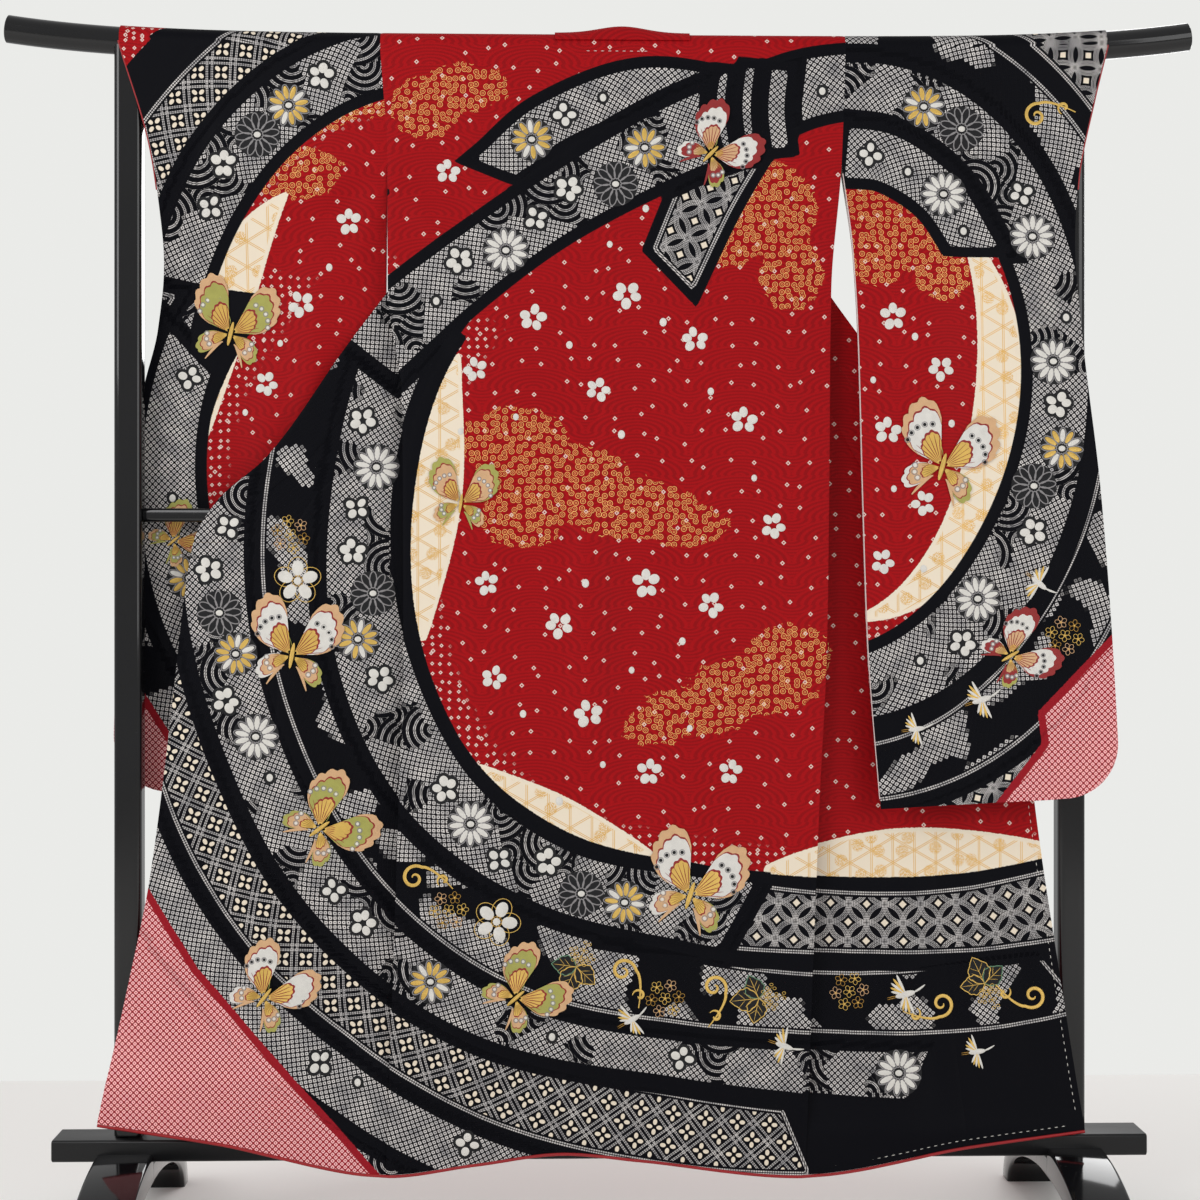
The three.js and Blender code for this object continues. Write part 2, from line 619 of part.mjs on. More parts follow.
// Stands a profile drawn in Y and Z and pushed out along X.
function alongX(shape, length, middle, curveSegments) {
  const geometry = new THREE.ExtrudeGeometry(shape, { depth: length, bevelEnabled: false, curveSegments });
  geometry.applyMatrix4(new THREE.Matrix4().makeBasis(
    new THREE.Vector3(0, 1, 0), new THREE.Vector3(0, 0, 1), new THREE.Vector3(1, 0, 0),
  ));
  return geometry.translate(middle.x - length / 2, middle.y, middle.z);
}

// The rail's middle line, with its points closer together towards the rising ends.
class RailLine extends THREE.Curve {
  getPoint(t, target = new THREE.Vector3()) {
    const x = RAIL.halfLength * Math.sin((t - 0.5) * Math.PI);
    return target.set(x, 0, railHeight(x));
  }

  getUtoTmapping(u) {
    return u;
  }
}

function railGeometry(radius) {
  const section = new THREE.Shape(circlePoints(radius, RAIL.sides));
  return new THREE.ExtrudeGeometry(section, { steps: RAIL.steps, extrudePath: new RailLine() });
}

function solid(geometry) {
  const bare = geometry.clone();
  bare.deleteAttribute('normal');
  bare.deleteAttribute('uv');
  const merged = mergeVertices(bare, 1e-3);
  return new wasm.Manifold(new wasm.Mesh({
    numProp: 3,
    vertProperties: new Float32Array(merged.attributes.position.array),
    triVerts: new Uint32Array(merged.index.array),
  }));
}

function cut(geometry, tool) {
  const result = solid(geometry).subtract(solid(tool)).getMesh();
  const cutGeometry = new THREE.BufferGeometry();
  cutGeometry.setAttribute('position', new THREE.Float32BufferAttribute(result.vertProperties, 3));
  cutGeometry.setIndex([...result.triVerts]);
  cutGeometry.computeVertexNormals();
  return cutGeometry;
}

function post(name, x) {
  const bottom = BEAM.bottom + BEAM.tall + SEAM_GAP;
  const top = railHeight(x) - POST.seat;
  const shape = roundedRectangle(POST.width, POST.width, POST.corner);
  const pushedOut = { depth: top - bottom, bevelEnabled: false, curveSegments: 3 };
  const blank = new THREE.ExtrudeGeometry(shape, pushedOut);
  blank.translate(x, 0, bottom);
  return mesh(name, cut(blank, railGeometry(RAIL.radius + SEAM_GAP)), COLOUR.lacquer, GLOSS);
}

function foot(name, x) {
  const arch = new THREE.Shape();
  arch.absellipse(0, 0, FOOT.outerReach, FOOT.outerHeight, 0, Math.PI, false);
  arch.absellipse(0, 0, FOOT.innerReach, FOOT.innerHeight, Math.PI, 0, true);
  arch.closePath();
  const blank = alongX(arch, FOOT.width, { x, y: 0, z: 0 }, 14);
  const notch = new THREE.BoxGeometry(2 * FOOT.width, BEAM.deep + 2 * SEAM_GAP, 2 * BEAM.tall);
  notch.translate(x, 0, BEAM.bottom - SEAM_GAP + BEAM.tall);
  return mesh(name, cut(blank, notch), COLOUR.lacquer, GLOSS);
}

function stand() {
  const group = new THREE.Group();
  group.add(mesh('top_rail', railGeometry(RAIL.radius), COLOUR.lacquer, GLOSS));
  group.add(post('post_left', -POST.offset), post('post_right', POST.offset));
  group.add(foot('foot_left', -POST.offset), foot('foot_right', POST.offset));
  const middleShape = roundedRectangle(MIDDLE_RAIL.deep, MIDDLE_RAIL.tall, MIDDLE_RAIL.corner);
  const middleLength = 2 * POST.offset - POST.width - 2 * SEAM_GAP;
  const middle = alongX(middleShape, middleLength, { x: 0, y: 0, z: MIDDLE_RAIL.height }, 3);
  group.add(mesh('middle_rail', middle, COLOUR.lacquer, GLOSS));
  const beamShape = roundedRectangle(BEAM.deep, BEAM.tall, BEAM.corner);
  const beam = alongX(beamShape, 2 * BEAM.halfLength, { x: 0, y: 0, z: BEAM.bottom + BEAM.tall / 2 }, 2);
  group.add(mesh('bottom_beam', beam, COLOUR.lacquer, SATIN));
  return group;
}

// ---------------------------------------------------------------- the whole

const kimono = new THREE.Group();
for (const side of [LEFT, RIGHT]) {
  kimono.add(backPanel(side), frontPanel(side), goreStrip(side), collarStrip(side));
}
for (const sleeve of [LEFT_SLEEVE, RIGHT_SLEEVE]) {
  kimono.add(sleeveLayer(sleeve, NEAR), sleeveLayer(sleeve, FAR));
}
kimono.add(neckCollar(), hemRoll());

const part = new THREE.Group();
part.add(kimono, stand());

export default part;
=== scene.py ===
"""A furisode kimono on its lacquered stand, the back of the garment towards the viewer.

Sizes are in millimetres, as the real pieces are measured; `MM` turns them into Blender's metres when a
mesh is made. +Z is up, the viewer stands at -Y and X runs to the viewer's right.
"""

import functools
import math

import bpy
import numpy as np
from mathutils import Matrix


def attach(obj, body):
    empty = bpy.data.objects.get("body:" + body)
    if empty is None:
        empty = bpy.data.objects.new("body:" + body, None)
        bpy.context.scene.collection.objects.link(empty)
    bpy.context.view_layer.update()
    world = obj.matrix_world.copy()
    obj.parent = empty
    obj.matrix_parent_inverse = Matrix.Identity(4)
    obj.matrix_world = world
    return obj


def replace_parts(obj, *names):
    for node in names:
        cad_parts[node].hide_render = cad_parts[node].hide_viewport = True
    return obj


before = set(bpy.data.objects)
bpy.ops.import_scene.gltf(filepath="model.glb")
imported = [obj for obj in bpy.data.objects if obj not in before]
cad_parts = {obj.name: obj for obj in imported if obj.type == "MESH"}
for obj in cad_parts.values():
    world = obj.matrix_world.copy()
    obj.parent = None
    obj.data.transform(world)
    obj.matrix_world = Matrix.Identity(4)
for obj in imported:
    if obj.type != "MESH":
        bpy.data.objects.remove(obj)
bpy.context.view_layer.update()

MM = 0.001
BODY = "root"

# ------------------------------------------------------------------ driving sizes of the garment

WALL = 2.0  # the solids' cloth
CLOTH = 1.4  # silk with its lining, as made here
SEAM_GAP = 0.3
SEWN_GAP = 0.04  # between two pieces that are sewn edge to edge
LAYER_STEP = WALL + SEAM_GAP
SEAM_LAP = 12.0
GRID = 6.5  # size of the cloth meshes' cells
RAIL = {"height": 1646.0, "radius": 19.0, "half_length": 826.0, "end_rise": 24.0}
DRAPE_RADIUS = RAIL["radius"] + SEAM_GAP + WALL / 2
DRAPE_ROWS = 9
SLEEVE_SEAM_END = 1485.0
SIDE_SEAM_TOP = 1307.0
GORE_TIP = 1430.0
COLLAR_END = 957.0
HEM_LEVEL = 100.0
HEM_DEPTH = -52.0
FOLD_RADIUS = {"top": 4.0, "middle": 10.0, "hem": 5.0}
NECK = {
    "middle": 28.0, "half_width": 75.0, "overlap": 19.0, "turns": (-66, 24),
    "hump": 9.0, "hump_half_width": 45.0, "hump_turn": 60,
}
SLEEVE_BELLY = {"depth": 8.0, "top": 1500.0, "top_reach": 300.0, "bottom_reach": 150.0}
SLEEVE_CORNER = 80.0
NEAR, FAR = -1, 1


def table(columns, *rows):
    """Rows with named columns. The first column is the one that it is read by."""
    ordered = sorted(rows)
    return {name: np.array([row[i] for row in ordered], float) for i, name in enumerate(columns.split())}


CENTRE_SEAM = table("z x", (1661, 28), (1150, 16), (600, 8), (120, -2))
HEM = table(
    "x z", (-692, 160.5), (-522, 133), (-294, 89), (-174, 104), (-54, 118), (52, 108), (272, 85),
    (505, 122), (667, 143),
)
# Flat widths of one front, from its side seam: to the gore's seam, the gore's own, and to the open edge.
FRONT_WIDTHS = table(
    "z panel gore whole", (1485, 215, 0, 270), (1430, 225, 1.5, 282), (1307, 238, 24, 320),
    (1077, 240, 62, 364), (957, 240, 72, 374), (100, 235, 90, 401),
)
LEFT = {
    "name": "left",
    "outward": -1,
    "side_seam": table(
        "z x", (1640, -308), (1485, -298), (1307, -297), (1152, -277), (822, -275), (601, -281), (92, -298),
    ),
    "open_edge": table(
        "z x", (1640, -47), (1485, -166), (1299, -304), (1230, -356), (1077, -465), (1015, -534), (960, -566),
        (874, -580), (735, -595), (494, -625), (350, -653), (162, -692),
    ),
}
RIGHT = {
    "name": "right",
    "outward": 1,
    "side_seam": table(
        "z x", (1640, 339), (1485, 333), (1307, 318), (1000, 314), (822, 311), (601, 300), (92, 279),
    ),
    "open_edge": table(
        "z x", (1640, 103), (1485, 198), (1299, 322), (1230, 372), (1077, 478), (960, 560), (808, 582),
        (591, 604), (350, 638), (145, 668),
    ),
}
LEFT_SLEEVE = {
    "side": LEFT,
    "bottom": 600.0,
    "bottom_rise": 8.0,
    "inner_edge": table("z x", (1485, -298), (1356, -301), (1000, -306), (600, -310)),
    "outer_edge": table(
        "z x", (1640, -668), (1485, -623), (1432, -617), (1356, -612), (1250, -622), (1150, -645),
        (1000, -657), (800, -680), (600, -686),
    ),
    "far_inset": table("z inset", (1640, 0), (600, 0)),
    "inner_depth": table("z moved", (1485, 0), (1290, 28), (1000, 52), (600, 61)),
    "outer_depth": table("z y", (1640, -20.3), (1512, -20.3), (1412, -1), (1290, 24), (600, 26)),
    "inner_gap": table("z gap", (1485, 25), (1200, 18), (700, 16), (604, 2.3)),
    "outer_gap": table("z gap", (1640, 40.6), (1500, 40.6), (1412, 2.3), (600, 2.3)),
}
RIGHT_SLEEVE = {
    "side": RIGHT,
    "bottom": 590.0,
    "bottom_rise": 14.0,
    "inner_edge": table(
        "z x", (1485, 333), (1453, 337), (1356, 347), (1222, 353), (1015, 358), (822, 364), (590, 381),
    ),
    "outer_edge": table(
        "z x", (1640, 706), (1565, 687), (1453, 664), (1356, 658), (1222, 666), (1015, 686), (822, 700),
        (590, 712),
    ),
    "far_inset": table(
        "z inset", (1640, 5), (1600, 37), (1540, 61), (1485, 48), (1432, 40), (1400, 0), (590, 0),
    ),
    "inner_depth": table("z moved", (1485, 0), (1360, -17), (1235, -26), (590, -26)),
    "outer_depth": table("z y", (1640, -20.3), (1432, -26), (1000, -62), (590, -70)),
    "inner_gap": table("z gap", (1485, 25), (1330, 14), (700, 14), (590, 2.3)),
    "outer_gap": table("z gap", (1640, 41), (1540, 43), (1432, 2.3), (590, 2.3)),
}

# The solids' soft upright folds: where, how wide, how far they stand out, and between which heights.
BODY_FOLDS = table(
    "x half_width depth top bottom", (-20, 26, -6, 1120, 620), (34, 22, 4, 1080, 560), (150, 45, -4, 900, 60),
    (-150, 50, -5, 760, 60), (-360, 42, 6, 700, 60), (-470, 36, -6, 640, 60), (420, 45, -5, 560, 60),
)
SLEEVE_FOLDS = table(
    "across half_width depth top bottom", (0.3, 0.1, -5, 1420, 560), (0.62, 0.12, 5, 1340, 700),
)

# ------------------------------------------------------------------ small helpers


def smooth(value):
    share = np.clip(value, 0.0, 1.0)
    return share * share * (3 - 2 * share)


def lerp(start, end, share):
    return start + (end - start) * share


def read(rows, column, at):
    """Reads a column along a smooth line that never overshoots the table's rows."""
    keys = next(iter(rows.values()))
    values = rows[column]
    slopes = np.diff(values) / np.diff(keys)
    before, after = slopes[:-1], slopes[1:]
    rising = before * after > 0
    inner = np.where(rising, 2 * before * after / np.where(rising, before + after, 1), 0)
    tangents = np.concatenate([slopes[:1], inner, slopes[-1:]])
    position = np.clip(at, keys[0], keys[-1])
    low = np.clip(np.searchsorted(keys, position) - 1, 0, len(keys) - 2)
    span = keys[low + 1] - keys[low]
    t = (position - keys[low]) / span
    weight = 1 + t * t * (2 * t - 3)
    bend = span * t * (1 - t) * ((1 - t) * tangents[low] - t * tangents[low + 1])
    return weight * values[low] + (1 - weight) * values[low + 1] + bend


def rail_height(x):
    return RAIL["height"] + RAIL["end_rise"] * (np.abs(x) / RAIL["half_length"]) ** 5


def fold_depth(folds, at, z):
    """How far the solids' folds stand out."""
    middles = next(iter(folds.values()))
    depth = np.zeros(np.broadcast(at, z).shape)
    for i, middle in enumerate(middles):
        top, bottom = folds["top"][i], folds["bottom"][i]
        reach = (top - bottom) / 4
        strength = smooth((top - z) / reach) * smooth((z - bottom) / reach)
        across = (at - middle) / folds["half_width"][i]
        depth = depth + folds["depth"][i] * strength * np.exp(-(across**2))
    return depth


# ------------------------------------------------------------------ creases

# Soft troughs (depth > 0, away from the viewer) and ridges of the silk, each from one point to another.
BODY_CREASES = table(
    "x1 z1 x2 z2 width depth",
    (-292, 1470, -150, 1395, 16, 2.2), (-288, 1440, -190, 1330, 13, -1.8), (-280, 1330, -196, 1150, 18, 2.0),
    (322, 1470, 190, 1400, 17, 2.3), (318, 1430, 236, 1290, 14, -1.7), (300, 1310, 262, 1060, 20, 1.8),
    (-60, 1590, -96, 1330, 22, 1.6), (118, 1600, 140, 1380, 20, -1.5), (4, 1260, -34, 1010, 12, 1.7),
    (-92, 1120, -70, 760, 17, -1.6), (96, 1010, 74, 640, 15, 1.5), (196, 900, 214, 420, 22, -1.9),
    (-214, 980, -226, 560, 20, 1.8), (-122, 640, -140, 190, 26, 2.3), (52, 560, 36, 160, 20, -1.8),
    (152, 520, 172, 150, 24, 2.1), (-206, 480, -224, 130, 22, -2.0), (242, 380, 250, 110, 16, 1.5),
    (-330, 1180, -372, 860, 20, 2.2), (-404, 1030, -446, 620, 24, -2.2), (-330, 760, -342, 420, 22, -1.8),
    (-512, 800, -560, 380, 22, 2.3), (-418, 520, -440, 190, 20, 2.0), (-590, 540, -628, 220, 17, -1.7),
    (-358, 330, -366, 120, 16, 1.6), (380, 760, 402, 330, 26, 2.3), (482, 700, 520, 260, 24, -2.1),
    (560, 520, 590, 190, 20, 1.9), (340, 500, 346, 140, 18, -1.5), (446, 330, 456, 150, 16, 1.5),
)
LEFT_SLEEVE_CREASES = table(
    "x1 z1 x2 z2 width depth",
    (-310, 1476, -420, 1388, 15, 2.2), (-312, 1440, -372, 1300, 14, -2.0), (-380, 1330, -408, 980, 22, 2.2),
    (-470, 1250, -500, 900, 26, -2.3), (-556, 1120, -590, 780, 20, 1.9), (-352, 1000, -362, 700, 18, -1.7),
    (-440, 860, -452, 640, 20, 1.7), (-540, 1560, -600, 1440, 16, 1.5), (-596, 1000, -632, 690, 17, -1.6),
)
RIGHT_SLEEVE_CREASES = table(
    "x1 z1 x2 z2 width depth",
    (342, 1474, 440, 1400, 15, 2.3), (348, 1440, 408, 1290, 14, -1.9), (420, 1340, 446, 1010, 21, 2.2),
    (520, 1230, 556, 860, 26, -2.4), (604, 1150, 640, 800, 19, 1.9), (394, 980, 404, 690, 18, -1.8),
    (486, 840, 500, 640, 19, 1.8), (600, 1530, 660, 1420, 17, -1.5), (648, 940, 676, 690, 17, 1.6),
)


BODY_CREASE_GAIN = 1.35  # the body's creases are somewhat deeper than its table says


def crease_depth(creases, x, z):
    """How far the creases move the cloth: deepest in the middle of each, and gone at its two ends."""
    depth = np.zeros(np.broadcast(x, z).shape)
    for x1, z1, x2, z2, width, deep in zip(*creases.values()):
        length = math.hypot(x2 - x1, z2 - z1)
        along = ((x - x1) * (x2 - x1) + (z - z1) * (z2 - z1)) / length**2
        bow = width * 0.5 * np.sin(np.pi * np.clip(along, 0, 1))
        across = ((x - x1) * (z2 - z1) - (z - z1) * (x2 - x1)) / length + bow
        strength = smooth(along / 0.35) * smooth((1 - along) / 0.45)
        depth = depth + deep * strength * np.exp(-((across / width) ** 2))
    return depth


# ------------------------------------------------------------------ how the cloth hangs


def lean_depth(z):
    """Depth of the smooth back, which leans a little from the rail to the hem."""
    share = np.clip((RAIL["height"] - z) / (RAIL["height"] - HEM_LEVEL), 0, 1.1)
    return lerp(-DRAPE_RADIUS, HEM_DEPTH, share)


def back_depth(x, z):
    return lean_depth(z) + fold_depth(BODY_FOLDS, x, z) + BODY_CREASE_GAIN * crease_depth(BODY_CREASES, x, z)


def hem_height(x):
    return read(HEM, "z", x)


def body_height(level, hem_x):
    """Rows are level down to the collar's end, and below it they spread to the curve of the hem."""
    spread = lerp(COLLAR_END, hem_height(hem_x), (COLLAR_END - level) / (COLLAR_END - HEM_LEVEL))
    return np.where(level >= COLLAR_END, level, spread)


def on_rail(x, angle, side, lift):
    """Points on the rail's top or round its near or far side, lifted off the cloth's usual place."""
    radius = DRAPE_RADIUS + lift
    return np.stack(np.broadcast_arrays(
        x, side * radius * np.sin(angle), rail_height(x) + radius * np.cos(angle)
    ), -1)


def hanging_rows(levels):
    """Angles over the rail (NaN below it) and levels, as two columns that a grid's rows run along."""
    crest = SEAM_GAP / 2 / DRAPE_RADIUS
    angles = np.linspace(0, math.pi / 2, DRAPE_ROWS, endpoint=False)
    angles[0] = crest
    angle = np.concatenate([angles, np.full(len(levels), np.nan)])
    level = np.concatenate([np.full(DRAPE_ROWS, RAIL["height"]), levels])
    return angle[:, None], level[:, None]


def levels_between(*ends):
    """Levels from the first end down to the last one, with each end among them."""
    stretches = [
        np.linspace(top, bottom, max(2, round((top - bottom) / GRID)) + 1)[1:]
        for top, bottom in zip(ends, ends[1:])
    ]
    return np.concatenate([[ends[0]], *stretches])


def flat_height(angle, level):
    """Height along the cloth itself, which goes on over the rail where the height in space ends."""
    over = RAIL["height"] + DRAPE_RADIUS * (math.pi / 2 - np.nan_to_num(angle))
    return np.where(np.isnan(angle), level, over)


EDGE_SHARES = (0.12, 0.42)  # extra columns beside a seam, in cells


def shares_across(width):
    """Shares of a width from 0 to 1, with closer columns beside its seams."""
    cells = round(width / GRID)
    near_end = [cells - share for share in EDGE_SHARES]
    return np.array(sorted([*range(cells + 1), *EDGE_SHARES, *near_end]))[None, :] / cells


USUAL_WIDTH = {"back": 300.0, "sleeve": 350.0}  # what the columns of a piece are counted by


SEAM_DIP = {"depth": 0.55, "width": 2.4}


def seam_dip(*distances):
    """How far the cloth is drawn in beside seams at these distances."""
    return sum(SEAM_DIP["depth"] * np.exp(-((distance / SEAM_DIP["width"]) ** 2)) for distance in distances)


# ------------------------------------------------------------------ the cloth's surfaces
# Each gives points (rows, columns, 3), and the flat place of each on the cloth (rows, columns, 2).

BACK_LEVELS = (RAIL["height"], SLEEVE_SEAM_END, SIDE_SEAM_TOP, COLLAR_END, HEM_LEVEL)


def hung(angle, level, hanging, over, flat_x):
    """A surface that lies over the rail in the rows with an angle, and hangs below it in the others."""
    points = np.where(np.isnan(angle)[..., None], hanging, over)
    flat_z = np.where(np.isnan(angle), hanging[..., 2], flat_height(angle, level))
    return points, np.stack([flat_x, flat_z], -1)


def back_surface(side):
    angle, level = hanging_rows(levels_between(*BACK_LEVELS))
    share = shares_across(USUAL_WIDTH["back"])
    gap = side["outward"] * SEWN_GAP / 2
    ends = [read(side["side_seam"], "x", HEM_LEVEL) - gap, read(CENTRE_SEAM, "x", HEM_LEVEL) + gap]
    z = body_height(level, lerp(ends[0], ends[1], share))
    seam = read(side["side_seam"], "x", z) - gap
    centre = read(CENTRE_SEAM, "x", z) + gap
    x = lerp(seam, centre, share)
    dip = seam_dip(np.abs(x - seam), np.abs(x - centre))
    hanging = np.stack([x, back_depth(x, z) + dip, z], -1)
    return hung(angle, level, hanging, on_rail(x, np.nan_to_num(angle), NEAR, -dip), x)


def front_base(x, z):
    """Depth of a front next to its side seam."""
    drawn_in = smooth((RAIL["height"] - z) / (RAIL["height"] - SIDE_SEAM_TOP))
    return lerp(DRAPE_RADIUS, back_depth(x, z) + LAYER_STEP, drawn_in)


def front_widths(side, level):
    """Flat widths of a front's panel, of its gore and of the whole at some levels."""
    widths = {column: read(FRONT_WIDTHS, column, level) for column in ("panel", "gore", "whole")}
    collar = widths["whole"] - widths["panel"] - widths["gore"]
    top = RAIL["height"]
    shoulder = abs(read(side["side_seam"], "x", top) - read(side["open_edge"], "x", top))
    down = smooth((top - level) / (top - SLEEVE_SEAM_END))
    widths["panel"] = lerp(shoulder - collar, widths["panel"], down)
    widths["whole"] = lerp(shoulder, widths["whole"], down)
    return widths


def turn_left_out(slack):
    """The turn to leave out of a half circle so that it takes up only this slack, in its radii."""
    low = np.zeros_like(slack)
    high = np.full_like(slack, math.pi)
    for _ in range(30):
        middle = (low + high) / 2
        more = math.pi - middle - np.sin(middle) > slack
        low, high = np.where(more, middle, low), np.where(more, high, middle)
    return low


FOLD_TOP_REACH = 250.0
FOLD_HEM = {"from": 500.0, "reach": 400.0}
HEM_SAMPLE_X = 400.0


def front_fold(side, z, whole, angle):
    """How a front lies at a height: inward behind the back, round a half circle, and out again."""
    outward = side["outward"]
    lap = SEAM_LAP * smooth((SLEEVE_SEAM_END - z) / (SLEEVE_SEAM_END - SIDE_SEAM_TOP))
    start = read(side["side_seam"], "x", z) - outward * (lap + SEAM_GAP / 2)
    reach = outward * (read(side["open_edge"], "x", z) - start)
    upper = lerp(FOLD_RADIUS["top"], FOLD_RADIUS["middle"], smooth((RAIL["height"] - z) / FOLD_TOP_REACH))
    radius = lerp(upper, FOLD_RADIUS["hem"], smooth((FOLD_HEM["from"] - z) / FOLD_HEM["reach"]))
    slack = np.maximum(0, whole - reach)
    turn_start = turn_left_out(slack / radius)
    inward = np.maximum(0, (slack - math.pi * radius) / 2)
    quarter = math.pi / 4
    over = lerp(whole, inward, smooth((np.nan_to_num(angle) - quarter) / quarter))
    inward = np.where(np.isnan(angle), inward, over)
    turned = inward + radius * (math.pi - turn_start)
    return start, radius, inward, turn_start, turned, np.maximum(1, reach / whole)


def front_points(side, distance, angle, level, dip):
    """Points of a front at flat distances from its side seam, and their flat places on the cloth."""
    outward = side["outward"]
    whole = front_widths(side, level)["whole"]
    hang = np.full(1, np.nan)
    hem_z = hem_height(outward * HEM_SAMPLE_X)
    hem_start = front_fold(side, np.full(1, hem_z), whole, hang)[0]
    hem_reach = outward * (read(side["open_edge"], "x", HEM_LEVEL) - hem_start)
    z = body_height(level, hem_start + outward * hem_reach * distance / whole)
    start, radius, inward, turn_start, turned, stretch = front_fold(side, z, whole, angle)
    straight = (distance - turned) * stretch - inward + radius * np.sin(turn_start)
    turn = turn_start + (distance - inward) / radius
    bent = -inward - radius * (np.sin(turn) - np.sin(turn_start))
    out = np.where(distance > turned, straight, np.where(distance > inward, bent, -distance))
    full = radius * (1 + np.cos(turn_start))
    part = radius * (np.cos(turn_start) - np.cos(turn))
    behind = np.where(distance > turned, full, np.where(distance > inward, part, 0))
    x = start + outward * out
    hanging = np.stack([x, front_base(x, z) + behind + dip, z], -1)
    over = on_rail(x, np.nan_to_num(angle), FAR, behind)
    return hung(angle, level, hanging, over, start + outward * straight)


def folded_distances(side, angle, level, start, end, cells):
    """Flat distances of the columns between two seams, closer together where the front turns round."""
    whole = front_widths(side, level)["whole"]
    _, _, inward, _, turned, _ = front_fold(side, level, whole, angle)
    least = np.minimum((end - start) / 60, 0.8)
    before, turning, after = cells
    turn_from = np.clip(inward, start + least * before, end - least * (turning + after))
    turn_to = np.clip(turned, turn_from + least * turning, end - least * after)
    ends = [start, turn_from, turn_to, end]
    shares = [
        np.array(sorted([*range(before + 1), *EDGE_SHARES])) / before,
        np.linspace(0, 1, turning + 1)[1:],
        np.array(sorted([*range(1, after + 1), *[after - share for share in EDGE_SHARES]])) / after,
    ]
    return np.concatenate([lerp(a, b, share[None, :]) for a, b, share in zip(ends, ends[1:], shares)], 1)


def front_strip(side, levels, cells, seams_at):
    """The stretch of a front between two seams, over the rail and down."""
    angle, level = hanging_rows(levels)
    start, end = seams_at(front_widths(side, level))
    start = start + SEWN_GAP / 2
    end = end - SEWN_GAP / 2
    distance = folded_distances(side, angle, level, start, end, cells)
    dip = seam_dip(distance - start, end - distance)
    return front_points(side, distance, angle, level, dip)


FRONT_CELLS = {"panel": (8, 12, 32), "collar": (3, 12, 9)}  # before, round and after the turn


def front_surface(side):
    levels = levels_between(*BACK_LEVELS)
    return front_strip(side, levels, FRONT_CELLS["panel"], lambda widths: (0 * widths["panel"], widths["panel"]))


def collar_surface(side):
    levels = levels_between(RAIL["height"], SLEEVE_SEAM_END, SIDE_SEAM_TOP, COLLAR_END + SEAM_GAP / 2)
    return front_strip(
        side, levels, FRONT_CELLS["collar"],
        lambda widths: (widths["panel"] + widths["gore"] + SEWN_GAP, widths["whole"]),
    )


GORE_CELLS = {"beside_panel": 12, "under_collar": 10}


def gore_surface(side):
    """The gore, and which of its cells are there: none beside the collar's stretch above its end."""
    levels = levels_between(GORE_TIP - SEAM_GAP, SIDE_SEAM_TOP, COLLAR_END - SEAM_GAP / 2, HEM_LEVEL)
    level = levels[:, None]
    widths = front_widths(side, level)
    start = widths["panel"] + SEWN_GAP / 2
    step = widths["panel"] + widths["gore"] - SEAM_GAP / 2
    beside = lerp(start, step, np.linspace(0, 1, GORE_CELLS["beside_panel"] + 1)[None, :])
    under = lerp(step, widths["whole"], np.linspace(0, 1, GORE_CELLS["under_collar"] + 1)[None, 1:])
    distance = np.concatenate([beside, under], 1)
    dip = seam_dip(distance - start)
    points, flat = front_points(side, distance, np.full_like(level, np.nan), level, dip)
    is_there = np.ones((len(levels) - 1, distance.shape[1] - 1), bool)
    is_there[levels[:-1] > COLLAR_END, GORE_CELLS["beside_panel"]:] = False
    return points, flat, is_there


def neck_surface():
    angle = np.radians(np.linspace(*NECK["turns"], 26))[:, None]
    half_width = NECK["half_width"] + NECK["overlap"]
    x = NECK["middle"] + np.linspace(-half_width, half_width, 44)[None, :]
    hump = NECK["hump"] * np.exp(-(((x - NECK["middle"]) / NECK["hump_half_width"]) ** 2))
    lift = LAYER_STEP + hump * smooth(1.15 - np.abs(angle) / math.radians(NECK["hump_turn"]))
    points = on_rail(x, angle, FAR, lift)
    flat_z = RAIL["height"] + DRAPE_RADIUS * (math.pi / 2 + angle)
    return points, np.stack(np.broadcast_arrays(x, flat_z), -1)


def sleeve_levels(sleeve):
    bottom = sleeve["bottom"]
    levels = levels_between(RAIL["height"], SLEEVE_SEAM_END, SIDE_SEAM_TOP, bottom + SLEEVE_CORNER)
    turns = np.linspace(0, math.pi / 2, 17)[1:]
    return np.concatenate([levels, bottom + SLEEVE_CORNER * (1 - np.sin(turns))])


def sleeve_outline(sleeve, level, layer):
    """Inner and outer edge of a sleeve's layer at a level."""
    outward = sleeve["side"]["outward"]
    below = np.clip(sleeve["bottom"] + SLEEVE_CORNER - level, 0, SLEEVE_CORNER)
    rounding = SLEEVE_CORNER - np.sqrt(SLEEVE_CORNER**2 - below**2)
    inset = read(sleeve["far_inset"], "inset", level) if layer == FAR else 0
    sewn = read(sleeve["side"]["side_seam"], "x", level)
    inner = np.where(level >= SLEEVE_SEAM_END, sewn, read(sleeve["inner_edge"], "x", level))
    outer = read(sleeve["outer_edge"], "x", level)
    return inner + outward * SEWN_GAP / 2, outer - outward * (rounding + inset)


